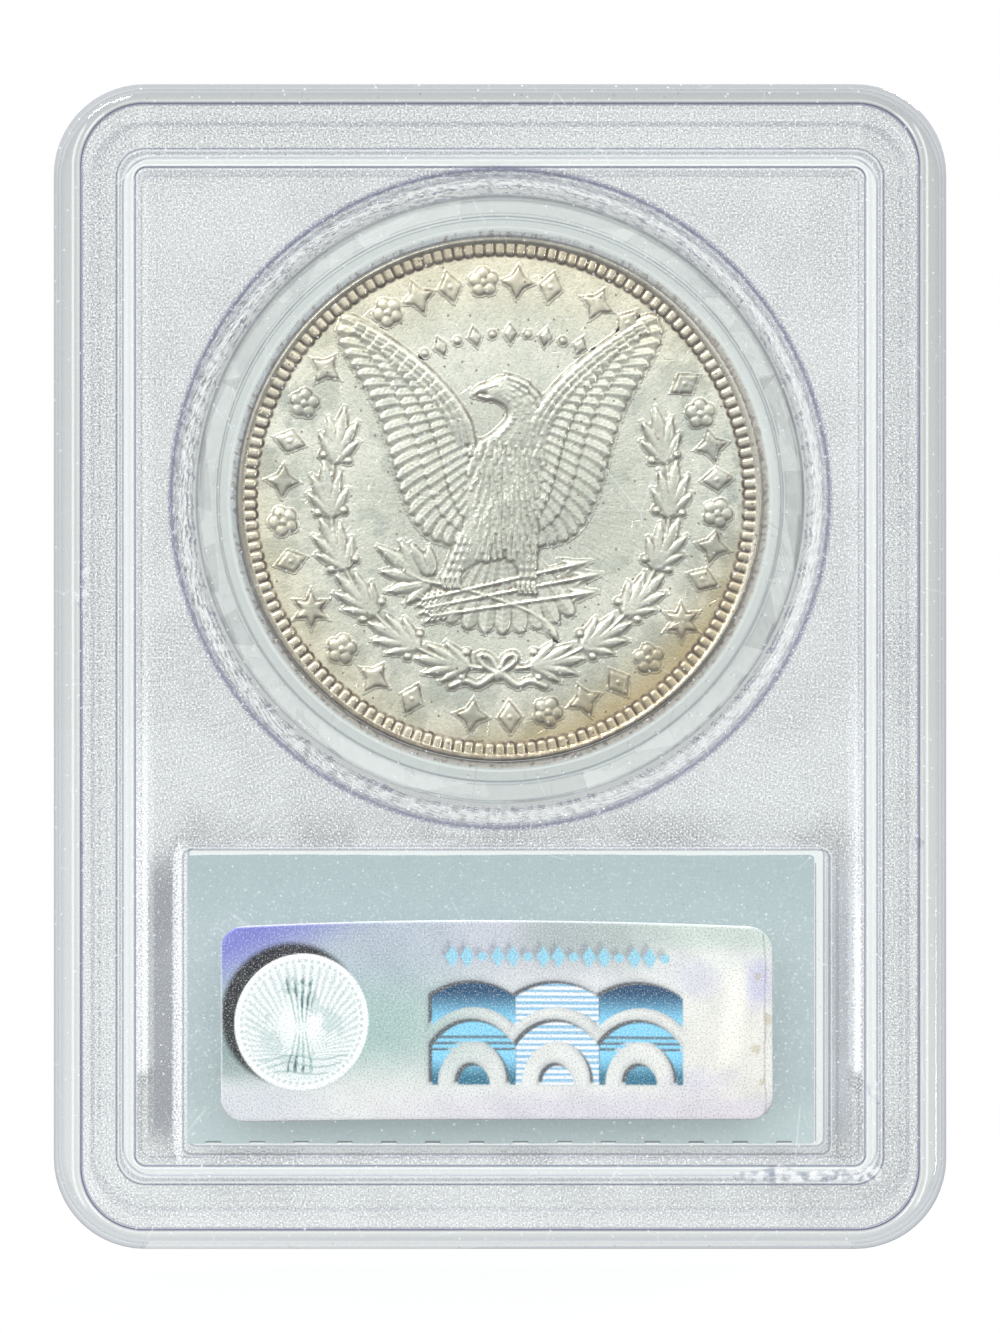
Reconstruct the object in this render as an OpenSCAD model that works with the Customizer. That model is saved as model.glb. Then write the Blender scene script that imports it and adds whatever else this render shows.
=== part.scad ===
// Graded coin slab: two welded clear halves hold a coin in a clear ring, over a paper label.
// It stands on its label end. X is the width, Z the height, and the rear face looks towards -Y.

/* [Case] */
// Width of the case
case_w = 64.6; // [62:0.1:68]
// Height of the case
case_h = 84.3; // [84:0.1:88]
// Radius of the case's outer corners
corner_r = 6.6; // [5.8:0.1:8]
// Height of the highest point of each half above the parting plane
half_t = 3.7; // [3.6:0.05:4]
// Radius that rounds the outer edge of each half
edge_r = 1.15; // [0.6:0.05:1.2]
// Thickness of the flat panel of each half
panel_t = 1.35; // [1:0.05:1.5]
// Thickness of the outer wall of each half
wall_t = 2.6; // [2.3:0.1:2.8]
// Depth and half width of the fine groove where the two halves meet
seam = 0.12; // [0.05:0.01:0.2]

/* [Stacking rims] */
// Width of the rear rim along the case's sides
rim_side_w = 2.1; // [1.8:0.05:2.3]
// Width of the rear rim along the case's ends
rim_end_w = 1.55; // [1.4:0.05:1.8]
// Radius of the inner corners of the rear rim
rim_inner_r = 4.5; // [4:0.1:5]
// Depth of the rear panel below its rim
nest_depth = 0.6; // [0.55:0.05:0.7]
// Height of the front rim, which nests in the rear rim of the next case
front_rim_h = 0.5; // [0.4:0.05:0.5]
// Width of the front rim
front_rim_w = 1.1; // [0.9:0.05:1.2]
// Gap round a front rim nested in a rear rim
nest_gap = 0.15; // [0.1:0.05:0.2]

/* [Weld] */
// Distance from the case's sides to the weld
weld_side_in = 4.5; // [4.4:0.05:4.6]
// Distance from the case's ends to the weld
weld_end_in = 4.65; // [4.6:0.05:4.8]
// Width of the weld wall
weld_w = 1.5; // [1.4:0.05:1.5]
// Radius of the weld's outer corners
weld_r = 2.2; // [2:0.1:2.6]
// Height of the ridge that the weld raises on each face
ridge_h = 0.15; // [0.1:0.01:0.2]
// Width of the slope on each side of the ridge
ridge_slope = 0.14; // [0.08:0.01:0.2]
// Width of the tongue on the rear half's weld wall
tongue_w = 0.5; // [0.4:0.05:0.6]
// Length of the tongue
tongue_h = 0.5; // [0.4:0.05:0.6]

/* [Window] */
// Height of the window's centre above the case's lower end
window_z = 54.3; // [54.2:0.05:54.4]
// Radius of the clear round window
window_r = 22.6; // [22.4:0.05:22.7]
// Width of the sloping edge round the window
window_slope_w = 1.2; // [1:0.05:1.2]
// Depth of the window below the panel
window_depth = 0.35; // [0.2:0.05:0.4]
// Half the depth of the space between the two windows
well_half_t = 1.5; // [1.45:0.05:1.55]
// Thickness of the round wall that holds the ring
well_wall_t = 1.45; // [1.2:0.05:1.5]

/* [Coin] */
// Diameter of the coin
coin_d = 38.1; // [37.9:0.05:38.2]
// Thickness of the coin at its rim
coin_t = 2.4; // [2.2:0.05:2.5]
// Width of the coin's flat rim
coin_rim_w = 0.58; // [0.4:0.02:0.8]
// Depth of the coin's field below its rim
field_depth = 0.2; // [0.14:0.02:0.3]
// Width of the slope between the field and the rim
field_slope_w = 0.2; // [0.1:0.05:0.4]
// Bevel of the coin's edge
coin_bevel = 0.08; // [0.04:0.01:0.12]

/* [Coin ring] */
// Running gap round the coin
coin_gap = 0.05; // [0.02:0.01:0.09]
// Outer radius of the ring
ring_r = 22.1; // [21.9:0.05:22.2]
// Gap between the ring and the well's wall
ring_gap = 0.05; // [0.02:0.01:0.1]
// Radius of the step on the ring's faces
ring_step_r = 20.55; // [20.3:0.05:20.8]
// Width of the slope at the ring's step
ring_step_w = 0.15; // [0.1:0.05:0.3]
// Thickness of the ring inside its step
ring_lip_t = 2.6; // [2.5:0.05:2.8]
// Width of the slope at the ring's bore
ring_bore_slope = 0.5; // [0.3:0.05:0.6]

/* [Label] */
// Width of the label pocket
pocket_w = 46.7; // [46:0.1:47.2]
// Height of the label pocket
pocket_h = 22; // [21.4:0.1:22]
// Sideways place of the pocket's centre
pocket_x = 0.45; // [0:0.05:0.6]
// Height of the pocket's centre above the case's lower end
pocket_z = 17.9; // [17.8:0.05:18]
// Radius of the pocket's corners
pocket_r = 0.6; // [0.4:0.1:1]
// Depth of the pocket in each half
pocket_depth = 0.18; // [0.16:0.01:0.3]
// Depth of the polished label window below the panel
label_window_depth = 0.1; // [0.09:0.01:0.15]
// Width of the solid border round the pocket
pocket_wall_t = 0.8; // [0.6:0.05:0.8]
// Width of the label
label_w = 45.4; // [44.8:0.1:45.6]
// Height of the label
label_h = 21.1; // [20.6:0.1:21.2]
// Thickness of the label card
label_t = 0.3; // [0.2:0.02:0.3]
// Sideways place of the label's centre
label_x = -0.1; // [-0.1:0.05:0.6]
// Spacing of the perforation notches along the label's lower edge
notch_pitch = 3.2; // [2.6:0.1:4]
// Width of one perforation notch
notch_w = 0.65; // [0.4:0.05:0.9]
// Depth of one perforation notch
notch_depth = 0.25; // [0.1:0.05:0.4]

/* [Sticker] */
// Width of the hologram sticker
sticker_w = 39.9; // [36:0.1:42]
// Height of the hologram sticker
sticker_h = 14; // [12:0.1:16]
// Thickness of the hologram sticker
sticker_t = 0.08; // [0.05:0.01:0.09]
// Radius of the sticker's corners
sticker_r = 1.7; // [1:0.1:2.5]
// Sideways place of the sticker's centre
sticker_x = -0.25; // [-0.5:0.05:0.5]
// Height of the sticker's centre above the case's lower end
sticker_z = 16.6; // [16:0.1:19]

/* [Hidden] */
$fn = 96;

// Room by which a cut runs past the face that it opens
past = 1;
half_h = case_h / 2;
coin_r = coin_d / 2;
well_r = ring_r + ring_gap;
rear_face = half_t - nest_depth;
front_face = half_t - front_rim_h;

recess_w = case_w - 2 * rim_side_w;
recess_h = case_h - 2 * rim_end_w;
front_rim_r = rim_inner_r - nest_gap;

weld_box_w = case_w - 2 * weld_side_in;
weld_box_h = case_h - 2 * weld_end_in;
tongue_in = (weld_w - tongue_w) / 2;
tongue_gap = 0.05;

notch_count = floor(label_w / notch_pitch);
perforation_w = (notch_count - 1) * notch_pitch;

// A rectangle with round corners, centred on the origin
module rounded_rect(w, h, r) {
    square([w - 2 * r, h], center = true);
    square([w, h - 2 * r], center = true);
    for (sx = [-1, 1], sy = [-1, 1]) {
        translate([sx * (w / 2 - r), sy * (h / 2 - r)]) circle(r = r);
    }
}

// The band between a rounded rectangle and the one that lies the given width inside it
module rounded_band(w, h, r, band) {
    difference() {
        rounded_rect(w, h, r);
        rounded_rect(w - 2 * band, h - 2 * band, r - band);
    }
}

// Carries a profile round a rounded rectangle; the profile's X counts from the corner arcs' centres
module carried_round(w, h, r) {
    for (i = [0:3]) {
        across = (i % 2 == 0) ? w : h;
        along = (i % 2 == 0) ? h : w;
        rotate([0, 0, 90 * i]) translate([across / 2 - r, along / 2 - r, 0]) {
            rotate([90, 0, 0]) linear_extrude(along - 2 * r) children();
            rotate_extrude(angle = 90) children();
        }
    }
}

// The solid outer form of one half, from the parting plane up to its face, with a rounded outer edge
module half_form(face) {
    translate([0, 0, seam]) linear_extrude(face - edge_r - seam) rounded_rect(case_w, case_h, corner_r);
    linear_extrude(face) rounded_rect(case_w - 2 * edge_r, case_h - 2 * edge_r, corner_r - edge_r);
    linear_extrude(2 * seam) rounded_rect(case_w - 2 * seam, case_h - 2 * seam, corner_r - seam);
    carried_round(case_w, case_h, corner_r) intersection() {
        translate([corner_r - edge_r, face - edge_r]) circle(r = edge_r);
        translate([corner_r - edge_r, face - edge_r]) square(edge_r);
    }
}

// The raised ridge that runs over the weld, on a face at the given height
module weld_ridge(face) {
    foot = ridge_h / 2;
    translate([0, 0, face]) carried_round(weld_box_w, weld_box_h, weld_r) polygon([
        [weld_r - weld_w, -foot],
        [weld_r, -foot],
        [weld_r, 0],
        [weld_r - ridge_slope, ridge_h],
        [weld_r - weld_w + ridge_slope, ridge_h],
        [weld_r - weld_w, 0]
    ]);
}

// The hollow spaces beside and inside the weld wall, round the well and the label block
module hollows(face) {
    block_w = pocket_w + 2 * pocket_wall_t;
    block_h = pocket_h + 2 * pocket_wall_t;
    translate([0, 0, -past]) linear_extrude(face - panel_t + past) difference() {
        rounded_rect(case_w - 2 * wall_t, case_h - 2 * wall_t, corner_r - wall_t);
        rounded_band(weld_box_w, weld_box_h, weld_r, weld_w);
        translate([0, window_z - half_h]) circle(r = well_r + well_wall_t);
        translate([pocket_x, pocket_z - half_h]) square([block_w, block_h], center = true);
    }
}

// The round well for the ring, and the sloping edge of the window over it
module round_window(face) {
    window_face = face - window_depth;
    slope = window_slope_w / window_depth;
    translate([0, window_z - half_h, 0]) {
        translate([0, 0, -past]) cylinder(r = well_r, h = well_half_t + past);
        translate([0, 0, window_face]) cylinder(
            r1 = window_r,
            r2 = window_r + slope * (window_depth + ridge_h),
            h = window_depth + ridge_h
        );
    }
}

// The shallow pocket for the label, and the polished window over it
module label_pocket(face) {
    translate([pocket_x, pocket_z - half_h, 0]) {
        translate([0, 0, -past]) linear_extrude(past + pocket_depth) rounded_rect(pocket_w, pocket_h, pocket_r);
        translate([0, 0, face - label_window_depth]) linear_extrude(past) rounded_rect(pocket_w, pocket_h, pocket_r);
    }
}

// Stands a half that was built face up on its lower end, with its face towards -Y
module stand_up() {
    translate([0, 0, half_h]) rotate([90, 0, 0]) children();
}

// Clear moulded front half, with the rim that nests and the groove that takes the tongue
module front_shell() {
    color("lightsteelblue", 0.4) mirror([0, 1, 0]) stand_up() {
        difference() {
            union() {
                half_form(front_face);
                weld_ridge(front_face);
                linear_extrude(half_t) rounded_band(
                    recess_w - 2 * nest_gap,
                    recess_h - 2 * nest_gap,
                    front_rim_r,
                    front_rim_w
                );
            }
            hollows(front_face);
            round_window(front_face);
            label_pocket(front_face);
            translate([0, 0, -past]) linear_extrude(tongue_h + tongue_gap + past) rounded_band(
                weld_box_w - 2 * tongue_in + 2 * tongue_gap,
                weld_box_h - 2 * tongue_in + 2 * tongue_gap,
                weld_r - tongue_in + tongue_gap,
                tongue_w + 2 * tongue_gap
            );
        }
    }
}

// Clear moulded rear half, with the recess for the next case's rim and the weld tongue
module rear_shell() {
    color("lightsteelblue", 0.4) stand_up() {
        difference() {
            union() {
                difference() {
                    half_form(half_t);
                    translate([0, 0, rear_face]) linear_extrude(nest_depth + past) rounded_rect(
                        recess_w,
                        recess_h,
                        rim_inner_r
                    );
                }
                weld_ridge(rear_face);
            }
            hollows(rear_face);
            round_window(rear_face);
            label_pocket(rear_face);
        }
        translate([0, 0, -tongue_h]) linear_extrude(2 * tongue_h) rounded_band(
            weld_box_w - 2 * tongue_in,
            weld_box_h - 2 * tongue_in,
            weld_r - tongue_in,
            tongue_w
        );
    }
}

// Places a turned piece at the window's centre, with its axis along Y
module at_window() {
    translate([0, 0, window_z]) rotate([90, 0, 0]) children();
}

// Clear ring that the two halves clamp, with a sloped bore that the coin turns in
module coin_ring() {
    bore_r = coin_r + coin_gap;
    lip = ring_lip_t / 2;
    upper = [
        [ring_r, well_half_t],
        [ring_step_r + ring_step_w, well_half_t],
        [ring_step_r, lip],
        [bore_r + ring_bore_slope, lip],
        [bore_r, lip - ring_bore_slope]
    ];
    lower = [for (i = [len(upper) - 1:-1:0]) [upper[i][0], -upper[i][1]]];
    color("aliceblue", 0.4) at_window() rotate_extrude() polygon(concat(upper, lower));
}

// Silver coin with a raised rim and a sunken field on both faces
module coin() {
    top = coin_t / 2;
    upper = [
        [0, top - field_depth],
        [coin_r - coin_rim_w - field_slope_w, top - field_depth],
        [coin_r - coin_rim_w, top],
        [coin_r - coin_bevel, top],
        [coin_r, top - coin_bevel]
    ];
    lower = [for (i = [len(upper) - 1:-1:0]) [upper[i][0], -upper[i][1]]];
    color("silver") at_window() rotate_extrude() polygon(concat(upper, lower));
}

// Paper label with perforation notches along its lower edge
module label_insert() {
    color("lightblue") translate([label_x, label_t / 2, pocket_z]) rotate([90, 0, 0]) linear_extrude(label_t) {
        difference() {
            square([label_w, label_h], center = true);
            for (i = [0:notch_count - 1]) {
                translate([i * notch_pitch - perforation_w / 2, -label_h / 2]) {
                    square([notch_w, 2 * notch_depth], center = true);
                }
            }
        }
    }
}

// Thin hologram foil, stuck on the outside of the rear half's label window
module hologram_sticker() {
    glue_face = rear_face - label_window_depth;
    color("gainsboro") translate([sticker_x, -glue_face, sticker_z]) rotate([90, 0, 0]) {
        linear_extrude(sticker_t) rounded_rect(sticker_w, sticker_h, sticker_r);
    }
}

front_shell();
rear_shell();
coin_ring();
coin();
label_insert();
hologram_sticker();
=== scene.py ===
import math
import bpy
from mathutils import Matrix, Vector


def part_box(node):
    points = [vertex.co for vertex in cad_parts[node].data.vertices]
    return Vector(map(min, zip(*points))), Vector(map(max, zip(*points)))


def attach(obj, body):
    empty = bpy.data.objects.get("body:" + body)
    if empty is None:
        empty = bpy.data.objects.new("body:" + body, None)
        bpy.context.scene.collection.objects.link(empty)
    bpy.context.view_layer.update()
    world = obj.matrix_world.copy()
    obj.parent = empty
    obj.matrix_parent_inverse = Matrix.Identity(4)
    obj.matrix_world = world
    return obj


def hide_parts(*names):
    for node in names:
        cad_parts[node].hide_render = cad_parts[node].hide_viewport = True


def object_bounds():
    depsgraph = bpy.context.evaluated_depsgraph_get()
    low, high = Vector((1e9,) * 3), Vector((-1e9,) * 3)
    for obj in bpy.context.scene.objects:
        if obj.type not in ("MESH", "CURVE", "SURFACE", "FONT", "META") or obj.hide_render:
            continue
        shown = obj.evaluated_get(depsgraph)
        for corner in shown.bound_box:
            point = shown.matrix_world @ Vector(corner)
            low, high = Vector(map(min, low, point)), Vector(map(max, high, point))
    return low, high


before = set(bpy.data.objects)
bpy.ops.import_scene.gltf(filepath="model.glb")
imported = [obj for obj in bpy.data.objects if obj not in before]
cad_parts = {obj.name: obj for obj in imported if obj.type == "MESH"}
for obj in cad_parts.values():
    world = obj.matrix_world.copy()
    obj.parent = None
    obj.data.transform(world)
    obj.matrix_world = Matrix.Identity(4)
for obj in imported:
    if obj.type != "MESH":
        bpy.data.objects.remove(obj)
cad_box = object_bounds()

from types import SimpleNamespace

import bpy
import numpy as np
from mathutils import Vector

MM = 0.001

# ---- the frame's own places, in millimetres --------------------------------
case_low, case_high = (np.array(corner) / MM for corner in cad_box)
coin_low, coin_high = (np.array(corner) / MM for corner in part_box("coin"))
ring_low, ring_high = (np.array(corner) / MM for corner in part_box("coin_ring"))
label_low, label_high = (np.array(corner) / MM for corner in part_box("label_insert"))
foil_low, foil_high = (np.array(corner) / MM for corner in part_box("hologram_sticker"))

CASE_W, CASE_H = (case_high - case_low)[[0, 2]]
CASE_MID = (case_low + case_high) / 2
COIN_MID = (coin_low + coin_high) / 2
COIN_R = (coin_high[0] - coin_low[0]) / 2
COIN_FACE = (coin_high[1] - coin_low[1]) / 2
RING_R = (ring_high[0] - ring_low[0]) / 2
LABEL_MID = (label_low + label_high) / 2
LABEL_W, LABEL_H = (label_high - label_low)[[0, 2]]
FOIL_MID = (foil_low + foil_high) / 2
FOIL_W, FOIL_H = (foil_high - foil_low)[[0, 2]]

# ---- sizes that the design gives and the boxes don't show, in millimetres ---
CORNER_R = 6.6
RECESS = {"side": 2.1, "end": 1.55, "r": 4.5}
WELD = {"side": 4.5, "end": 4.65, "r": 2.2, "wide": 1.5}
WINDOW_R = 22.6
WINDOW_EDGE = WINDOW_R + 1.2     # the outer edge of the slope round the window
RING_STEP_R = 20.6
POCKET = {"w": 46.7, "h": 22.0, "x": 0.45, "z": 17.9, "r": 0.6}
FIELD_DEPTH = 0.2
RIM_FLAT = 0.46


# ============================ camera and light ==============================
LENS = 135
SENSOR = 36
VIEW_H = 1.141 * CASE_H     # the height that the view takes in at the rear panel


def add_camera():
    """The photo's view: straight on to the rear face."""
    data = bpy.data.cameras.new("camera")
    data.lens = LENS
    data.sensor_width = SENSOR
    camera = bpy.data.objects.new("camera", data)
    distance = VIEW_H * LENS / SENSOR
    camera.location = Vector((CASE_MID[0], case_low[1] - distance, CASE_MID[2])) * MM
    camera.rotation_euler = (math.pi / 2, 0, 0)
    bpy.context.scene.collection.objects.link(camera)
    bpy.context.scene.camera = camera


def add_sun(name, power, angle, direction):
    """A soft sun that shines from the given direction."""
    data = bpy.data.lights.new(name, "SUN")
    data.energy = power
    data.angle = math.radians(angle)
    sun = bpy.data.objects.new(name, data)
    sun.rotation_euler = Vector(direction).to_track_quat("Z", "Y").to_euler()
    bpy.context.scene.collection.objects.link(sun)


def add_world():
    """A white tent: white to the eye, and a light that falls from above for everything else."""
    world = bpy.data.worlds.new("tent")
    bpy.context.scene.world = world
    world.use_nodes = True
    tree = world.node_tree
    tree.nodes.clear()
    paint = Paint(tree)
    x, _, z = paint.split(paint.node("ShaderNodeTexCoord").outputs["Generated"])
    light = z.ramp((-0.9, 0.25), (-0.35, 0.36), (0.0, 0.74), (0.3, 1.55), (1.0, 1.62)) - 0.12 * x
    seen = paint.node("ShaderNodeLightPath").outputs["Is Camera Ray"]
    tone = paint.blend(seen, paint.grey(light, (0.98, 1.0, 1.03)), (1, 1, 1))
    paint.out(paint.node("ShaderNodeBackground", Color=tone), "ShaderNodeOutputWorld")


def add_floor():
    """A pale floor that isn't part of the object."""
    bpy.ops.mesh.primitive_plane_add(size=6)
    floor = bpy.context.object
    floor.name = "floor"
    floor.visible_glossy = False
    floor.visible_diffuse = False
    paint = Paint.material("pale_floor")
    shine = paint.node("ShaderNodeEmission", Color=(0.80, 0.80, 0.80, 1))
    matt = paint.node("ShaderNodeBsdfDiffuse", Color=(0.12, 0.12, 0.12, 1))
    both = paint.node("ShaderNodeAddShader")
    paint.link(shine, both.inputs[0])
    paint.link(matt, both.inputs[1])
    paint.out(both)
    floor.data.materials.append(paint.owner)


# ============================ writing materials =============================
def srgb(*levels):
    """A linear colour from 0 to 255 display levels."""
    c = np.array(levels) / 255
    return (*np.where(c <= 0.04045, c / 12.92, ((c + 0.055) / 1.055) ** 2.4).tolist(), 1)


class Value:
    """A number that varies over a surface, for formulas that write math nodes."""

    def __init__(self, paint, socket):
        self.paint = paint
        self.socket = socket

    def math(self, kind, *others, clamp=False):
        return self.paint.math(kind, self, *others, clamp=clamp)

    def __add__(self, other):
        return self.math("ADD", other)

    def __sub__(self, other):
        return self.math("SUBTRACT", other)

    def __mul__(self, other):
        return self.math("MULTIPLY", other)

    def __truediv__(self, other):
        return self.math("DIVIDE", other)

    def __rsub__(self, other):
        return self.paint.math("SUBTRACT", other, self)

    def __abs__(self):
        return self.math("ABSOLUTE")

    def __pow__(self, other):
        return self.math("POWER", other)

    __radd__ = __add__
    __rmul__ = __mul__

    def over(self, other):
        return self.math("MAXIMUM", other)

    def under(self, other):
        return self.math("MINIMUM", other)

    def held(self):
        """The value held between 0 and 1."""
        return self.math("ADD", 0.0, clamp=True)

    def sin(self):
        return self.math("SINE")

    def step(self, low, high):
        """0 below low and 1 above high, with a smooth rise between; low may be the larger."""
        node = self.paint.node("ShaderNodeMapRange", interpolation_type="SMOOTHSTEP")
        self.paint.link(self, node.inputs["Value"])
        node.inputs["From Min"].default_value = low
        node.inputs["From Max"].default_value = high
        return Value(self.paint, node.outputs[0])

    def line(self, place, width):
        """1 at a place, fading out to 0 within the width on both sides."""
        return abs(self - place).step(width, 0)

    def ramp(self, *stops):
        """Straight lines through (input, output) pairs."""
        found = None
        for (a, low), (b, high) in zip(stops, stops[1:]):
            node = self.paint.node("ShaderNodeMapRange")
            self.paint.link(self, node.inputs["Value"])
            limits = {"From Min": a, "From Max": b, "To Min": 0, "To Max": high - low}
            for slot, value in limits.items():
                node.inputs[slot].default_value = value
            part = Value(self.paint, node.outputs[0])
            found = part + stops[0][1] if found is None else found + part
        return found


class Paint:
    """Short names for the nodes of one material or world."""

    def __init__(self, tree, owner=None):
        self.tree = tree
        self.owner = owner

    @classmethod
    def material(cls, name):
        material = bpy.data.materials.new(name)
        material.use_nodes = True
        material.node_tree.nodes.clear()
        return cls(material.node_tree, material)

    def link(self, source, socket):
        if isinstance(source, Value):
            source = source.socket
        if isinstance(source, bpy.types.Node):
            source = source.outputs[0]
        if isinstance(source, bpy.types.NodeSocket):
            self.tree.links.new(source, socket)
        elif isinstance(source, (tuple, list)):
            size = len(socket.default_value)
            socket.default_value = (*source, 1)[:size] if len(source) < size else source[:size]
        else:
            socket.default_value = source

    def node(self, kind, **settings):
        """A node; settings name its properties, or its inputs with their spaces as underscores."""
        node = self.tree.nodes.new(kind)
        later = {}
        for name, value in settings.items():
            if name[0].islower():
                setattr(node, name, value)
            else:
                later[name.replace("_", " ")] = value
        for name, value in later.items():
            self.link(value, node.inputs[name])
        return node

    def out(self, shader, kind="ShaderNodeOutputMaterial"):
        self.link(shader, self.tree.nodes.new(kind).inputs["Surface"])
        return self.owner

    def math(self, kind, *terms, clamp=False):
        node = self.node("ShaderNodeMath", operation=kind, use_clamp=clamp)
        for socket, term in zip(node.inputs, terms):
            self.link(term, socket)
        return Value(self, node.outputs[0])

    def split(self, socket):
        node = self.node("ShaderNodeSeparateXYZ", Vector=socket)
        return [Value(self, out) for out in node.outputs]

    def joined(self, x, y, z):
        return self.node("ShaderNodeCombineXYZ", X=x, Y=y, Z=z).outputs[0]

    def place(self):
        """X, Y and Z on the piece, in millimetres of the shared frame."""
        return [c * (1 / MM) for c in self.split(self.node("ShaderNodeTexCoord").outputs["Object"])]

    def normal(self):
        return self.split(self.node("ShaderNodeTexCoord").outputs["Normal"])

    def length(self, *parts):
        total = parts[0] * parts[0]
        for part in parts[1:]:
            total = total + part * part
        return total.math("SQRT")

    def noise(self, where, scale, detail=2.0, rough=0.5):
        settings = {"Vector": where, "Scale": scale, "Detail": detail, "Roughness": rough}
        return Value(self, self.node("ShaderNodeTexNoise", noise_dimensions="2D", **settings).outputs[0])

    def cells(self, where, scale, feature="F1"):
        settings = {"feature": feature, "Vector": where, "Scale": scale}
        node = self.node("ShaderNodeTexVoronoi", voronoi_dimensions="2D", **settings)
        return Value(self, node.outputs["Distance"])

    def blend(self, share, low, high):
        """The colour low where share is 0 and high where it is 1."""
        node = self.node("ShaderNodeMix", data_type="RGBA")
        self.link(share, node.inputs[0])
        self.link(low, node.inputs[6])
        self.link(high, node.inputs[7])
        return node.outputs[2]

    def washes(self, colour, *washes):
        """The colour with washes laid over it in turn, each a share and its display levels or colour."""
        for share, tone in washes:
            colour = self.blend(share, colour, srgb(*tone) if isinstance(tone, tuple) else tone)
        return colour

    def grey(self, level, tone=(1, 1, 1)):
        """A colour of the given level and tone."""
        node = self.node("ShaderNodeVectorMath", operation="SCALE")
        self.link(tone, node.inputs[0])
        self.link(level, node.inputs["Scale"])
        return node.outputs[0]

    def bump(self, height, depth, strength=1.0):
        """A normal from a height that runs from 0 to 1, at its real depth in millimetres."""
        return self.node("ShaderNodeBump", Height=height, Distance=depth * MM, Strength=strength).outputs[0]

    def rounded_rect(self, x, z, w, h, r):
        """Distance in millimetres outside a rounded rectangle centred on the origin; negative inside."""
        qx = abs(x) - (w / 2 - r)
        qz = abs(z) - (h / 2 - r)
        return self.length(qx.over(0), qz.over(0)) + qx.over(qz).under(0) - r

    def mix_shader(self, share, low, high):
        node = self.node("ShaderNodeMixShader")
        for socket, source in zip(node.inputs, (share, low, high)):
            self.link(source, socket)
        return node

    def pane(self, tint, haze, haze_colour, roughness, normal=None, shine=1.0):
        """Clear plastic: a tinted pane, a share of white haze, and gloss that grows at grazing angles."""
        clear = self.node("ShaderNodeBsdfTransparent", Color=tint)
        matt = self.node("ShaderNodeBsdfDiffuse", Color=haze_colour)
        gloss = self.node("ShaderNodeBsdfGlossy", Roughness=roughness)
        fresnel = self.node("ShaderNodeFresnel", IOR=1.5)
        if normal is not None:
            for shader in (matt, gloss, fresnel):
                self.link(normal, shader.inputs["Normal"])
        back = Value(self, self.node("ShaderNodeNewGeometry").outputs["Backfacing"])
        mirror = Value(self, fresnel.outputs[0]) * (1 - back) * shine
        return self.out(self.mix_shader(mirror, self.mix_shader(haze, clear, matt), gloss))


def scratches(paint, x, z, scale, seed, thin=0.012):
    """Sparse thin curved scratches, 1 on a scratch."""
    edges = paint.cells(paint.joined(x + seed, z * 0.6, 0), scale, "DISTANCE_TO_EDGE")
    patchy = paint.noise(paint.joined(x, z + seed, 0), scale * 1.7, 1).step(0.55, 0.7)
    return edges.step(thin, 0) * patchy


def strongest(first, *others):
    """The highest of several values at each place."""
    for other in others:
        first = first.over(other)
    return first


# ============================ the plastic ===================================
SEAM = 0.05                 # half the width over which one finish passes into the next
STRIP = {"from": 23.7, "to": 25.44, "low": 6.8, "high": 29.5}       # the strips beside the label, smoother and painted darker as shade
STREAK_X = 25.88            # the painted highlight streaks between the strips beside the label and the weld


def shell_places(paint):
    """Where a point of a shell is, its distances from the outlines moulded there, and its finish."""
    at = SimpleNamespace()
    at.x, y, at.z = paint.place()
    at.here = paint.joined(at.x, at.z, 0)
    at.up = at.z - CASE_MID[2]
    at.over_coin = at.z - COIN_MID[2]
    at.outside = abs(y).step(2.2, 2.5)
    at.facing = abs(paint.normal()[1]).step(0.55, 0.75)
    at.case_edge = paint.rounded_rect(at.x, at.up, CASE_W, CASE_H, CORNER_R)
    at.recess, at.weld = [
        paint.rounded_rect(at.x, at.up, CASE_W - 2 * ring["side"], CASE_H - 2 * ring["end"], ring["r"])
        for ring in (RECESS, WELD)
    ]
    at.inner_weld = at.weld + WELD["wide"]
    pocket_x = at.x - POCKET["x"]
    pocket_z = at.z - POCKET["z"]
    at.pocket = paint.rounded_rect(pocket_x, pocket_z, POCKET["w"], POCKET["h"], POCKET["r"])
    at.off_pocket = at.pocket.step(0.0, 0.1)
    at.radius = paint.length(at.x - COIN_MID[0], at.over_coin)
    at.turn = paint.math("ARCTAN2", at.x, at.over_coin)
    at.ragged = (paint.noise(at.here, 5.5, 2, 0.6) - 0.5) * 0.35
    at.grain = paint.noise(at.here, 7.0, 2, 0.7)
    at.cloud = paint.noise(at.here, 0.13, 3, 0.55)

    past_slope = at.radius + at.ragged - WINDOW_EDGE
    at.on_weld = at.weld.step(SEAM, -SEAM) * at.inner_weld.step(-SEAM, SEAM)
    at.channel = at.recess.step(0.02, -0.06) * at.weld.step(-SEAM, SEAM)
    at.panel = at.inner_weld.step(SEAM, -SEAM) * past_slope.step(-SEAM, SEAM) * at.off_pocket
    past_window = at.radius.step(WINDOW_R - SEAM, WINDOW_R + SEAM)
    at.slope = past_window * past_slope.step(SEAM, -SEAM) * at.off_pocket
    at.frost = at.outside * at.facing * (at.panel + at.channel).held()

    # the strips beside the label: less grain and haze than the panel, and painted darker and bluer as shade,
    # more on the left
    beside = abs(at.x) + at.ragged * 0.9
    across = (beside - STRIP["from"]).step(-0.08, 0.08) * (beside - STRIP["to"]).step(0.08, -0.08)
    along = at.z.step(STRIP["low"], STRIP["low"] + 2.7) * at.z.step(STRIP["high"], STRIP["high"] - 3.5)
    at.dull = across * along
    return at


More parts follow.
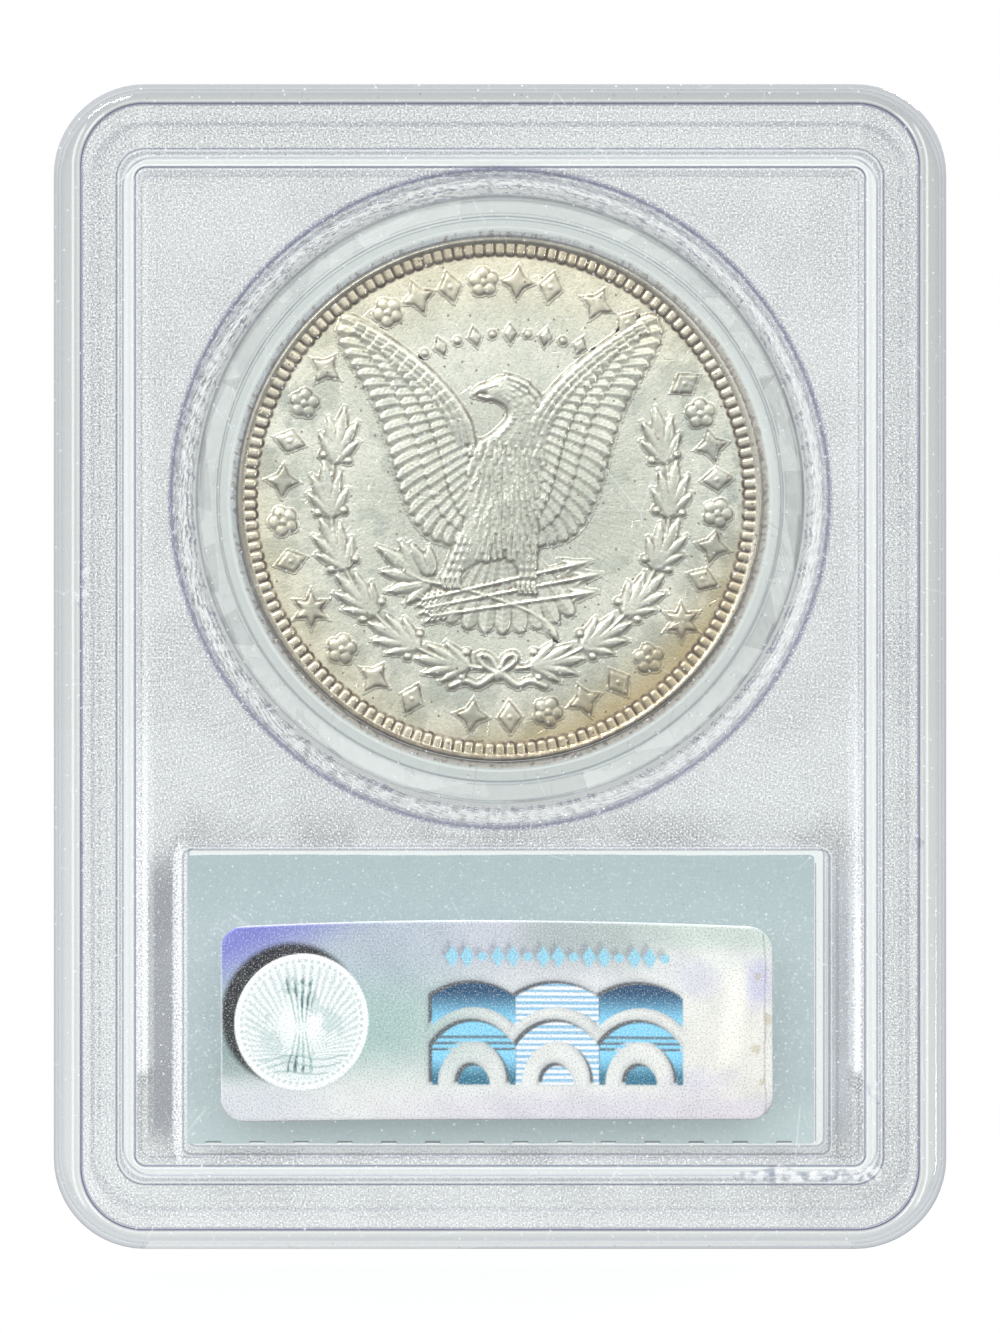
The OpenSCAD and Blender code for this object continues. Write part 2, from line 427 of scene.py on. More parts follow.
def shell_lines(paint, at, rear):
    """Painted dark lines where the surface steps, standing in for the light it bends away; the front half's
    rim gives a broken one.
    """
    if rear:
        lip = at.recess.line(0.03, 0.15)
    else:
        dots = paint.noise(at.here, 3.0, 2, 0.6).step(0.48, 0.60)
        lip = at.recess.line(-0.7, 0.24) * (0.15 + 0.75 * dots)
    wobble = (paint.noise(at.here, 3.6, 2, 0.6) - 0.5) * 0.5
    dashes = paint.noise(paint.joined(at.turn * 40, at.radius, 0), 1.0, 2).step(0.50, 0.58)
    card_end = abs(at.x - label_high[0] - 0.25).step(0.12, 0.02) * at.pocket.step(-0.9, -1.0)
    return at.outside * strongest(
        lip * 0.95,
        at.weld.line(-0.07, 0.11) * 0.8,
        at.inner_weld.line(0.07, 0.12) * 0.8,
        (at.radius + at.ragged).line(WINDOW_EDGE, 0.34) * at.off_pocket * (1 if rear else 0.35),
        (at.radius + wobble).line(WINDOW_R, 0.12) * at.off_pocket * (0.2 + 0.5 * dashes),
        card_end * 0.7,
        at.pocket.line(0.0, 0.12) * 0.55,
    )


def shell_glints(at):
    """Painted highlights: bright lines beside the dark ones."""
    corner = (abs(at.x) - CASE_W / 2).over(abs(at.up) - CASE_H / 2).step(-2.0, -2.6)
    return at.outside * strongest(
        at.weld.line(-0.24, 0.09) * 0.7,
        at.inner_weld.line(0.25, 0.09) * 0.7,
        at.inner_weld.line(WELD["wide"] / 2, 0.3) * 0.5,
        at.recess.line(0.26, 0.1) * (0.35 + 0.6 * corner),
        at.recess.line(0.62, 0.16) * abs(at.x).step(29.6, 30.2) * 0.7,
        at.pocket.line(0.17, 0.07) * 0.6,
    )


def shell_streaks(at):
    """Painted highlights: ragged bright streaks beside the weld, and one along the left edge of the label's
    pocket.
    """
    glitter = at.grain.step(0.40, 0.54)
    streak = (abs(abs(at.x) + at.ragged * 1.7 - STREAK_X) + 0.003 * at.x).step(0.44, 0.24)
    streak = streak * at.z.step(12.2, 13.2) * (0.4 + 0.6 * at.z.step(46, 30))
    solid = at.x.step(0, 1) * at.z.step(27, 24)
    border = (at.pocket + at.ragged).step(0.86, 0.66) * at.x.step(-22.9, -23.1)
    return (streak * (0.45 + 0.55 * glitter.over(solid))).over(border * (0.4 + 0.6 * glitter))


def shell_material(name, rear):
    """Moulded clear plastic, frosted on its panel and channel and polished over the windows and the weld."""
    paint = Paint.material(name)
    at = shell_places(paint)
    x, z, up, frost, dull = at.x, at.z, at.up, at.frost, at.dull
    slope = at.slope * at.outside
    sparkle = (at.grain - 0.09 * dull).step(0.54, 0.66)
    dark_grain = at.grain.step(0.49, 0.28) * (1 - 0.9 * dull)
    # painted shade: the panel and channel darker near the case's upper-left edges, mixed with random clouds
    upper_left_shade = at.case_edge.step(-8.5, -3.0) * (up * 0.6 - x * 0.8).step(-5, 35)
    shaded = upper_left_shade.over(at.cloud.step(0.62, 0.38) * 0.5)
    grooves = paint.noise(paint.joined(at.turn * 34 + at.radius * 2.0, at.radius * 5.5, 0), 1.0, 3, 0.65)
    low_slope = at.over_coin.step(-8, -22)
    seed = -1 if rear else 1
    wear = scratches(paint, x, z, 0.13, 3.0 + seed)
    wear = wear.over(scratches(paint, x, z, 0.31, 17.0 + seed, 0.02) * 0.7)
    nicks = paint.cells(at.here, 0.55).step(0.055, 0.03)
    # darker patches at the lower ends of the bright streaks on both sides
    dark_patch = paint.length(x - 25.9, (z - 11.9) * 0.55).step(0.6, 0.2)
    dark_patch = dark_patch.over(paint.length(x + 25.7, (z - 12.2) * 0.8).step(0.45, 0.2)) * at.grain.step(0.6, 0.4)

    # how much light each part of the surface lets through, with painted shade near the upper-left edges and
    # round the label's pocket
    shade_near_label = at.pocket.step(4.0, 0.3) * (0.5 + 0.5 * at.cloud.step(0.6, 0.4)) * (1 - dull)
    frosted = 0.10 + 0.09 * shaded + (0.34 + 0.22 * shaded) * dark_grain + 0.06 * at.panel + 0.17 * shade_near_label
    # painted shade on the strips beside the label, more on the left; the channel darker towards the right
    frosted = frosted + dull * (0.17 - 0.003 * x) + 0.10 * at.channel * x.step(10, 29)
    rim = at.recess.step(-0.03, 0.03) * (0.155 + 0.0006 * x + 0.0012 * up)
    # painted shade: a little on the weld, more along the outer edge, and a dark band round the window's slope
    # that is stronger towards the top
    ridges = 0.03 * at.on_weld + 0.12 * at.case_edge.step(-0.45, -0.05)
    band = at.radius.line(WINDOW_R - 0.28, 0.5) * (0.7 + 0.3 * up.step(10, 25))
    # painted shade in the slope's grooves, darker on the left and towards the bottom; their bright sides are
    # painted highlights below
    grooved_shade = grooves.step(0.52, 0.30) * (0.46 - 0.008 * x) + 0.05 + 0.09 * low_slope
    level = 0.975 - frost * frosted - slope * grooved_shade
    level = level - at.outside * (rim + ridges + 0.33 * band + 0.35 * dark_patch)
    # painted highlights: sparkle on the frosted grain, the glints, the streaks and the grooves' bright sides
    # clear the pane to full light
    bright = strongest(
        frost * sparkle * 0.9,
        shell_glints(at),
        frost * shell_streaks(at),
        slope * grooves.step(0.54, 0.72) * (0.6 - 0.25 * low_slope),
    ).held()
    # painted shade where the pane is seen edge-on
    graze = Value(paint, paint.node("ShaderNodeLayerWeight", Blend=0.5).outputs["Facing"])
    level = level + (0.995 - level) * bright - 0.35 * graze**5
    # the tint: bluer on the strips beside the label, painted dark lines where the surface steps, and a
    # painted bluish-grey tint on the walls that face neither front nor back
    tint = paint.washes(
        paint.grey(level, (0.985, 0.998, 0.992)),
        (frost * dull * (1 - bright), paint.grey(level, (0.935, 0.96, 1.0))),
        (shell_lines(paint, at, rear), (86, 88, 132)),
        ((1 - at.facing) * 0.4, (222, 226, 236)),
    )

    haze = (0.03 + frost * (0.2 - 0.1 * dull) + 0.15 * slope).over(bright * 0.75)
    haze = (haze + at.outside * (0.3 * wear * (1 - 0.6 * frost) + 0.5 * nicks)).held()
    # whiter haze on the painted highlights
    haze_colour = paint.blend(bright, srgb(236, 237, 238), srgb(253, 254, 255))
    roughness = 0.06 + 0.34 * frost + 0.2 * slope
    normal = paint.bump(at.grain, 0.05, (frost + at.slope).held())
    return paint.pane(tint, haze, haze_colour, roughness, normal, 0.8)


def ring_material():
    """The clear ring: matt beside the coin, where a painted reflection of the coin's edge fills its bore, and
    polished outside.
    """
    paint = Paint.material("ring_plastic")
    x, _, z = paint.place()
    here = paint.joined(x, z, 0)
    up = z - COIN_MID[2]
    radius = paint.length(x, up)
    lit_side = (up * 0.75 - x * 0.65) / COIN_R
    sides = abs(x / radius).step(0.45, 1.0)
    dirt = paint.noise(here, 2.4, 4, 0.65)
    bore = radius.step(COIN_R + 0.62, COIN_R + 0.42)
    # painted dark lines at the ring's steps and painted highlight lines; below, painted shade on the ring's
    # sides, lighter towards the top and the left and on the inner right
    step = radius.line(RING_STEP_R - 0.05, 0.1).over(radius.line(RING_STEP_R + 0.17, 0.08) * 0.6)
    rim = radius.line(RING_R - 0.12, 0.12)
    band = radius.line(COIN_R + 0.72, 0.12)
    shiny = band.over(radius.line(RING_STEP_R + 0.06, 0.06) * 0.6)
    level = 0.875 - 0.115 * sides * radius.step(20.3, 20.9) - 0.03 * paint.noise(here, 0.25, 2)
    level = level + (0.015 * up - 0.02 * x) / RING_R
    level = level + 0.07 * (x / RING_R).step(0.3, 1) * radius.step(20.4, 20.2)
    level = level + (1.0 - level) * shiny
    # painted reflection of the coin's edge in the bore, lighter on the lit side, with brown blotches
    mirror = paint.washes(
        srgb(218, 212, 203),
        (lit_side.step(-0.25, 0.6), (216, 218, 220)),
        (dirt.step(0.52, 0.64) * 0.75, (140, 118, 96)),
    )
    # painted shade in the gap beside the coin, stronger on the lit side, and painted dark lines at the ring's
    # steps
    tint = paint.washes(
        paint.grey(level, (0.985, 1, 0.992)),
        (bore * (1 - shiny), mirror),
        (radius.line(COIN_R + 0.1, 0.16) * (0.45 + 0.4 * lit_side.step(-0.3, 0.7)), (84, 80, 78)),
        ((step * 0.5).over(rim * 0.35), (132, 140, 155)),
    )
    wear = scratches(paint, x, z, 0.16, 31.0, 0.014)
    haze = (0.03 + 0.10 * bore * (1 - band) + 0.25 * wear).held()
    normal = paint.bump(paint.noise(here, 1.1, 2), 0.03, 0.25)
    return paint.pane(tint, haze, srgb(232, 236, 240), 0.08 + 0.2 * bore, normal, 0.9)


def flash_material():
    """Squeezed-out weld plastic: milky, lumpy and glossy."""
    paint = Paint.material("weld_plastic")
    x, _, z = paint.place()
    here = paint.joined(x, z, 0)
    lumps = paint.noise(here, 1.3, 3, 0.5)
    tint = paint.blend(lumps.step(0.35, 0.55), srgb(235, 236, 240), srgb(255, 255, 255))
    haze = 0.06 + 0.22 * lumps.step(0.50, 0.62)
    return paint.pane(tint, haze, srgb(252, 252, 252), 0.15, paint.bump(lumps, 0.06, 0.6), 0.45)


# ============================ the label =====================================
TICK = {"pitch": 3.2, "wide": 1.05, "deep": 0.07}     # the perforation ticks along the card's lower edge
FORM_BARS = (       # left, right, height above the middle and thickness of each printed bar
    (-19.5, -3.0, 6.2, 1.5), (-19.5, -8.5, 2.9, 1.0), (-19.5, -10.5, 0.9, 1.0),
    (6.5, 19.5, 6.2, 1.5), (11.0, 19.5, 3.3, 1.0),
)
ROSETTE = (13.2, -3.6)      # its middle, from the middle of the card


def form_ink(paint, u, v):
    """The form printed on the card's front: two frames, bars, a bar code and a rosette."""
    inks = [
        paint.rounded_rect(u, v, LABEL_W - 1.6, LABEL_H - 1.6, 1.0).line(0, 0.16),
        paint.rounded_rect(u, v, LABEL_W - 2.6, LABEL_H - 2.6, 0.7).line(0, 0.08),
    ]
    for left, right, row, height in FORM_BARS:
        bar = abs(u - (left + right) / 2).step((right - left) / 2, (right - left) / 2 - 0.08)
        inks.append(bar * abs(v - row).step(height / 2, height / 2 - 0.08))
    code = (u * 5.1).sin().step(0.0, 0.35) * (u * 2.3 + 1.0).sin().step(-0.7, -0.4)
    inks.append(code * abs(u + 9.5).step(10.0, 9.9) * abs(v + 5.6).step(2.3, 2.2))
    turn = paint.math("ARCTAN2", v - ROSETTE[1], u - ROSETTE[0])
    far = paint.length(u - ROSETTE[0], v - ROSETTE[1])
    for size, swing, petals in ((3.2, 0.5, 12), (2.3, -0.5, 12), (1.3, 0.4, 6)):
        inks.append((far - (size + swing * (turn * petals).sin())).line(0, 0.14))
    return strongest(*inks)


def label_material():
    """Pale blue card with fibres and specks on both sides, and a plain printed form on its front."""
    paint = Paint.material("label_card")
    x, _, z = paint.place()
    here = paint.joined(x, z, 0)
    u = x - LABEL_MID[0]
    v = z - LABEL_MID[2]
    fine = paint.noise(here, 7.0, 3, 0.7)
    fibres = paint.noise(paint.joined(x * 0.5, z * 2.2, 0), 3.0, 3, 0.6).step(0.60, 0.70)
    specks = paint.cells(here, 2.0).step(0.26, 0.10) * paint.noise(here, 1.9).step(0.42, 0.55)
    dirt = paint.cells(here, 0.7).step(0.05, 0.02)
    tick = abs((u / TICK["pitch"]).math("FRACT") - 0.5) * TICK["pitch"]
    tick = tick.step(TICK["wide"] / 2 + 0.06, TICK["wide"] / 2)
    low_edge = (z - label_low[2]).step(TICK["deep"] + 0.19, TICK["deep"] + 0.12)
    # the case is read with its label end up, so the form stands upside down here
    ink = form_ink(paint, u, LABEL_MID[2] - z) * paint.normal()[1].step(0.4, 0.6)
    faded = 0.82 - 0.25 * paint.noise(here, 5.0, 3, 0.7)
    card = paint.washes(
        srgb(163, 179, 182),
        (paint.noise(here, 0.5, 4, 0.6), (180, 193, 195)),
        (fine.step(0.40, 0.65) * 0.5, (198, 209, 208)),
        (fibres * 0.30, (216, 226, 224)),
        (specks * 0.55, (222, 230, 226)),
        # painted shade towards the card's top and painted light towards its bottom
        (v.step(3, 10) * 0.5, (156, 174, 176)),
        (v.step(-6, -9) * 0.5, (194, 208, 208)),
        (dirt * 0.5, (120, 132, 140)),
        (ink * faded, (38, 52, 88)),
        # painted shadow in each tick along the lower edge
        (tick * low_edge * 0.7, (44, 50, 60)),
    )
    bump = paint.bump(fine * 0.6 + fibres * 0.4, 0.02, 0.5)
    roughness = 0.78 - 0.1 * fibres
    shader = paint.node("ShaderNodeBsdfPrincipled", Base_Color=card, Roughness=roughness, Normal=bump)
    return paint.out(shader)


def add_label():
    """The card: rounded corners, a little wave in its cut edges, and ticks along its lower edge."""
    low_x, high_x = label_low[0] + 0.02, label_high[0] + 0.3
    low_z, high_z = label_low[2] + 0.03, label_high[2] - 0.03
    corner_r = 0.25
    across = np.arange(low_x + 0.3, high_x - 0.3, 0.08)
    wave = 0.03 * np.sin(across * 0.31) + 0.01 * np.sin(across * 1.7)
    tick = abs(((across - LABEL_MID[0]) / TICK["pitch"]) % 1 - 0.5) * TICK["pitch"]
    notches = TICK["deep"] * smooth(tick, TICK["wide"] / 2 + 0.04, TICK["wide"] / 2 - 0.04)
    quarter = np.linspace(0, math.pi / 2, 6)
    c = corner_r * (1 - np.cos(quarter))
    s = corner_r * (1 - np.sin(quarter))
    runs = (
        (low_x + c, high_z - 0.02 - s),
        (across, high_z + wave),
        (high_x - s, high_z - 0.02 - c),
        (high_x - c, low_z + 0.02 + s),
        (across[::-1], (low_z + wave * 0.5 + notches)[::-1]),
        (low_x + s, low_z + 0.02 + c),
    )
    outline = np.concatenate([np.column_stack(run) for run in runs])
    count = len(outline)
    faces_y = (label_low[1] + 0.01, label_high[1] - 0.01)
    points = [(px, py, pz) for py in faces_y for px, pz in outline]
    walls = [[k, (k + 1) % count, (k + 1) % count + count, k + count] for k in range(count)]
    faces = [list(range(count))[::-1], list(range(count, 2 * count)), *walls]
    material = label_material()
    card = add_piece("label_card", points, faces, "case", material, smooth_shaded=False)
    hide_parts("label_insert")


# ============================ the sticker ===================================
FOIL_STEP = 0.08            # spacing of the sticker's mesh, in millimetres
FOIL_CORNER = 1.7
DISC = (-14.35 - FOIL_MID[0], 16.6 - FOIL_MID[2], 4.85)
FAN_MIDDLES = (-1.65, 4.4, 10.45)
FAN_FOOT = -4.55
BEAD_ROW = 4.45
SPECKS = ((18.75, -1.9, 0.5), (19.6, 0.4, 0.42), (19.3, -4.2, 0.28), (18.9, 3.4, 0.2))


def smooth(value, low, high):
    """0 below low and 1 above high, with a smooth rise between; low may be the larger."""
    t = np.clip((value - low) / (high - low), 0, 1)
    return t * t * (3 - 2 * t)


def laid(base, share, colours):
    """The share of other colours laid over the base."""
    share = share[..., None]
    return base * (1 - share) + colours * share


def washed(base, *washes):
    """The base with washes laid over it in turn, each a share and its display levels."""
    for share, levels in washes:
        base = laid(base, share, np.array(srgb(*levels)[:3]))
    return base


def sheet(like, *levels):
    """One colour all over the field."""
    return np.zeros((*like.shape, 3)) + srgb(*levels)[:3]


def fans(u, v):
    """Three fans of round arches: how far inside their strokes a point is, and which fan it is in."""
    inside = np.full(u.shape, -9.0)
    which = np.zeros(u.shape, int)
    for k, middle in enumerate(FAN_MIDDLES):
        far = np.hypot(u - middle, (v - FAN_FOOT) * 0.86)
        strokes = np.maximum.reduce([0.72 - abs(far - 5.4), 0.6 - abs(far - 3.2), 1.15 - far])
        strokes = np.minimum(strokes, v - FAN_FOOT)
        strokes = np.minimum(strokes, 3.02 - abs(u - middle))
        nearer = strokes > inside
        inside = np.where(nearer, strokes, inside)
        which = np.where(nearer, k, which)
    return inside, which


def beads(u, v):
    """A row of small lozenges and dots: how far inside them a point is."""
    inside = np.full(u.shape, -9.0)
    for k in range(15):
        middle = -3.2 + 1.1 * k
        if k % 3 == 2:
            inside = np.maximum(inside, 0.34 - np.hypot(u - middle, v - BEAD_ROW))
        else:
            inside = np.maximum(inside, (1 - abs(u - middle) / 0.52 - abs(v - BEAD_ROW) / 0.8) * 0.44)
    return inside


def foil_ground(u, v, noise):
    """The foil's pale shifting colours, partly its own and partly painted sheen where it catches the light,
    with a painted highlight near its right end.
    """
    base = washed(
        sheet(u, 229, 231, 226),
        (0.9 * smooth(u, 3, -8) * smooth(v, -5.8, -1.0), (158, 190, 184)),
        (0.60 * smooth(v, 0.0, 5.5) * smooth(u, 16.0, 3.0), (184, 186, 206)),
        (0.62 * smooth(abs(u - 6.5), 7.0, 2.5) * smooth(v, 2.6, 5.6), (150, 170, 162)),
        (0.92 * smooth(v - 0.42 * u, 9.5, 14.0), (118, 122, 204)),
        (0.45 * smooth(u, 8.0, 17.5) * smooth(v, 5.5, -1.0), (238, 233, 218)),
        (0.55 * smooth(v, -4.4, -6.2) * smooth(u, -14, 2), (208, 200, 218)),
        (0.55 * smooth(v, 4.4, 6.2) * smooth(u, 8, 13), (176, 200, 186)),
    )
    # blots of painted sheen: middle, half width and height, where they start and end, share and colour
    for middle_u, middle_v, wide, tall, start, end, share, levels in (
        (18.9, 2.8, 1.5, 2.0, 1.2, 0.3, 0.6, (192, 190, 226)),
        (14.4, 3.0, 2.2, 1.6, 1.3, 0.2, 0.4, (206, 204, 228)),
        (14.6, -4.3, 3.0, 1.2, 1.3, 0.2, 0.45, (206, 202, 226)),
    ):
        far = np.hypot((u - middle_u) / wide, (v - middle_v) / tall) + 0.15 * noise
        base = washed(base, (share * smooth(far, start, end), levels))
    # painted highlight near the foil's right end
    highlight = smooth(abs(u - 17.0 - 0.1 * v), 1.3, 0.2) * smooth(abs(v - 0.3), 4.4, 2.0)
    base = washed(base, (0.8 * highlight, (252, 250, 238)))
    base *= (1 + 0.035 * noise)[..., None]
    return washed(
        base,
        (0.6 * smooth(u, -13.5, -18.0) * smooth(abs(v + 2.4), 2.6, 0.6), (120, 142, 142)),
        (0.5 * smooth(u, -9, -17) * smooth(v, -3.6, -5.4), (196, 200, 214)),
    )


def foil_marks(base, u, v):
    """The fans and the beads on the foil, with their soft shadows, which fall up and to the left."""
    inside, which = fans(u, v)
    shade = fans(u + 0.24, v - 0.2)[0]
    base = washed(
        base,
        (0.92 * smooth(shade, -0.1, 0.06), (46, 42, 42)),
        (0.30 * smooth(shade, -0.45, 0.0), (110, 124, 136)),
    )
    deep = washed(
        sheet(u, 136, 214, 246),
        (smooth(v, -0.4, 2.2), (18, 74, 112)),
        (smooth(v, -2.4, -4.2), (40, 116, 142)),
    )
    stripes = smooth(abs(((v + 20) / 0.42) % 1 - 0.5), 0.30, 0.18)
    pale = washed(sheet(u, 242, 246, 248), (0.85 * stripes, (108, 184, 222)))
    middle_fan = which == 1
    print_on = smooth(inside, -0.06, 0.07)
    for row in (-1.2, -1.62, -2.04):
        print_on = print_on * (1 - 0.9 * smooth(abs(v - row), 0.13, 0.05) * ~middle_fan)
    return washed(
        laid(base, print_on, np.where(middle_fan[..., None], pale, deep)),
        (0.40 * smooth(beads(u + 0.3, v - 0.3), -0.25, 0.2), (100, 110, 130)),
        (0.95 * smooth(beads(u, v), -0.05, 0.08), (150, 212, 232)),
    )


def foil_disc(base, u, v, noise):
    """The pale disc with rays round a bound sheaf, and its shadow; u and v start from its middle."""
    far = np.hypot(u, v)
    rays = 0.5 + 0.5 * np.sin(np.arctan2(v + 2.2, u) * 62 + 0.8 * noise)
    spread = 0.35 + 0.75 * abs(v + 0.4) / 3.2
    sheaf = smooth(abs(u) - spread, 0.15, -0.1) * smooth(abs(v + 0.2), 3.5, 3.1)
    stalks = smooth(np.sin(u / spread * 12 + 0.9 * noise), -0.1, 0.6)
    hills = [abs(v + low - 0.14 * np.sin(u * 1.5 + low) - 0.06 * noise) for low in (2.5, 3.05, 3.6)]
    dots = smooth(abs(far - 4.35), 0.16, 0.08) * (0.5 + 0.5 * np.sin(np.arctan2(v, u) * 60))
    disc = washed(
        sheet(u, 248, 253, 250),
        (0.50 * rays * smooth(far, 0.8, 2.2) * smooth(far, 4.3, 4.0), (150, 176, 172)),
        (0.40 * smooth(noise, 0.3, 0.6) * smooth(far, 4.2, 2.4), (160, 190, 186)),
        (0.7 * sheaf * stalks, (132, 176, 168)),
        (0.80 * sheaf * smooth(noise, 0.2, 0.6) * stalks, (20, 74, 84)),
        *((0.5 * smooth(hill, 0.1, 0.03) * smooth(far, 4.2, 4.0), (96, 150, 152)) for hill in hills),
        (0.8 * smooth(np.hypot(u, (v + 0.4) * 1.6), 0.75, 0.55), (236, 244, 240)),
        (0.5 * dots, (140, 156, 160)),
        (0.5 * smooth(abs(far - DISC[2] + 0.16), 0.12, 0.04), (248, 250, 252)),
    )
    shadow = smooth(np.hypot(u + 0.8, v - 0.62), DISC[2] + 0.45, DISC[2] - 0.1)
    base = washed(base, (0.97 * shadow, (4, 4, 8)))
    return laid(base, smooth(far, DISC[2] + 0.05, DISC[2] - 0.05), disc)


def foil_print(u, v, noise):
    """The sticker's colours at u to the right and v up from its middle, in millimetres."""
    base = foil_marks(foil_ground(u, v, noise), u, v)
    base = foil_disc(base, u - DISC[0], v - DISC[1], noise)
    border = np.minimum(FOIL_W / 2 - abs(u), FOIL_H / 2 - abs(v))
    crease = abs(FOIL_W / 2 - u - 0.55 - 0.08 * noise)
    base = washed(
        base,
        (0.6 * smooth(border, 0.16, 0.05), (236, 238, 240)),
        (0.55 * smooth(crease, 0.1, 0.03), (150, 150, 160)),
    )
    for middle_u, middle_v, size in SPECKS:
        far = np.hypot(u - middle_u, (v - middle_v) * 0.8) + 0.12 * noise
        base = washed(base, (0.5 * smooth(far, size, size * 0.5), (186, 172, 132)))
    return np.clip(base, 0, 1)


def wavy(a, b, seed, octaves=5, first=0.25):
    """A smooth seeded field of about -1 to 1 over a plane, from a sum of turned waves."""
    rng = np.random.default_rng(seed)
    total = np.zeros(np.broadcast(a, b).shape)
    for k in range(octaves):
        for _ in range(4):
            turn, phase = rng.uniform(0, 2 * math.pi, 2)
            along = (a * math.cos(turn) + b * math.sin(turn)) * (first * 1.9**k)
            total += np.sin(along * 2 * math.pi + phase) / (1.5**k * 3)
    return total


def add_sticker():
    """Thin foil on the label window, bowed and a little askew; its print is held as colours in the mesh."""
    columns = int(FOIL_W / FOIL_STEP)
    rows = int(FOIL_H / FOIL_STEP)
    v = np.linspace(-1, 1, rows)[:, None] * FOIL_H / 2
    into_corner = np.clip(abs(v) - (FOIL_H / 2 - FOIL_CORNER), 0, FOIL_CORNER)
    half = FOIL_W / 2 - FOIL_CORNER + np.sqrt(np.clip(FOIL_CORNER**2 - into_corner**2, 0, None))
    u = np.linspace(-1, 1, columns)[None, :] * half
    v = np.broadcast_to(v, u.shape)
    grain = wavy(u, v, 11)
    bow = 0.42 * (1 - ((u + 2.5) / 20) ** 2) * (0.5 + v / FOIL_H) - 0.2 * (u < 0) * (u / 20) ** 2
    x = FOIL_MID[0] + u - 0.004 * v
    z = FOIL_MID[2] + v + bow - 0.2
    edge = np.minimum(half - abs(u), FOIL_H / 2 - abs(v))
    on_disc = smooth(np.hypot(u - DISC[0], v - DISC[1]), DISC[2] + 0.05, DISC[2] - 0.05)
    lift = 0.012 * np.clip(wavy(u, v, 5, 2, 0.06), -1, 1) + 0.014 * on_disc - 0.02 * smooth(edge, 0.2, 0)
    top = np.stack([x, foil_low[1] + 0.026 - lift, z], -1).reshape(-1, 3)

    index = np.arange(rows * columns).reshape(rows, columns)
    quads = np.stack([index[:-1, :-1], index[:-1, 1:], index[1:, 1:], index[1:, :-1]], -1).reshape(-1, 4)
    loop = np.concatenate([index[0], index[1:, -1], index[-1, -2::-1], index[-2:0:-1, 0]])
    low = rows * columns + np.arange(len(loop))
    walls = np.stack([np.roll(loop, -1), loop, low, np.roll(low, -1)], -1)
    under = top[loop].copy()
    under[:, 1] = foil_high[1] - 0.001
    points = np.concatenate([top, under])
    faces = [*quads.tolist(), *walls.tolist(), low[::-1].tolist()]
    piece = add_piece("hologram_foil", points, faces, "case", foil_material())
    printed = foil_print(u, v, grain).reshape(-1, 3)
    colours = np.ones((len(points), 4))
    colours[:, :3] = np.concatenate([printed, printed[loop]])
    store_colour(piece, "print", colours)
    piece.visible_shadow = False
    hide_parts("hologram_sticker")


def foil_material():
    """Brushed foil that carries the print."""
    paint = Paint.material("hologram_foil")
    x, _, z = paint.place()
    grain = paint.noise(paint.joined(x, z, 0), 8.0, 2, 0.6)
    colour = paint.washes(
        paint.node("ShaderNodeAttribute", attribute_name="print").outputs["Color"],
        (grain.step(0.52, 0.72) * 0.35, (248, 248, 244)),
        (grain.step(0.47, 0.30) * 0.45, (120, 125, 130)),
    )
    roughness = 0.34 + 0.2 * grain
    bump = paint.bump(grain, 0.012, 0.4)
    kind = "ShaderNodeBsdfPrincipled"
    return paint.out(paint.node(kind, Base_Color=colour, Metallic=0.35, Roughness=roughness, Normal=bump))


# ============================ building pieces ===============================
def add_piece(name, points, faces, body, material, smooth_shaded=True):
    """A mesh piece from points in millimetres, riding on a body."""
    mesh = bpy.data.meshes.new(name)
    faces = faces if isinstance(faces, list) else faces.tolist()
    mesh.from_pydata((np.asarray(points) * MM).tolist(), [], faces)
    mesh.materials.append(material)
    if smooth_shaded:
        mesh.shade_smooth()
    piece = bpy.data.objects.new(name, mesh)
    bpy.context.scene.collection.objects.link(piece)
    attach(piece, body)
    return piece


def store_colour(piece, name, colours):
    """A colour for each point, which the material reads by its name."""
    held = piece.data.attributes.new(name, "FLOAT_COLOR", "POINT")
    held.data.foreach_set("color", np.asarray(colours, np.float32).ravel())


def store_number(piece, name, numbers):
    """A number for each point, which the material reads by its name."""
    held = piece.data.attributes.new(name, "FLOAT", "POINT")
    held.data.foreach_set("value", np.asarray(numbers, np.float32).ravel())


# ============================ relief of the coin ============================
RELIEF_CELL = 0.09          # grid step of the relief, in millimetres
RELIEF_FLOOR = -0.12        # bottom of the relief's solids, below the coin's field
DRAFT = 1.5                 # slope of the relief's outlines
APRON = 0.2                 # how far a shape's dark outline reaches over the field


def spline(points, count):
    """Points evenly spaced along a smooth curve through the given points."""
    p = np.array([points[0], *points, points[-1]], float)
    t = np.linspace(0, 1, 16, endpoint=False)[:, None]
    parts = []
    for a, b, c, d in zip(p, p[1:], p[2:], p[3:]):
        cubic = (3 * b - a - 3 * c + d) * t**3 + (2 * a - 5 * b + 4 * c - d) * t**2 + (c - a) * t
        parts.append(b + 0.5 * cubic)
    line = np.vstack([*parts, p[-1:]])
    along = np.concatenate([[0], np.cumsum(np.linalg.norm(np.diff(line, axis=0), axis=1))])
    at = np.linspace(0, along[-1], count)
    return np.column_stack([np.interp(at, along, line[:, 0]), np.interp(at, along, line[:, 1])])


def polar(radius, degrees):
    """A point at a radius and an angle anticlockwise from the right."""
    a = math.radians(degrees)
    return np.array([radius * math.cos(a), radius * math.sin(a)])


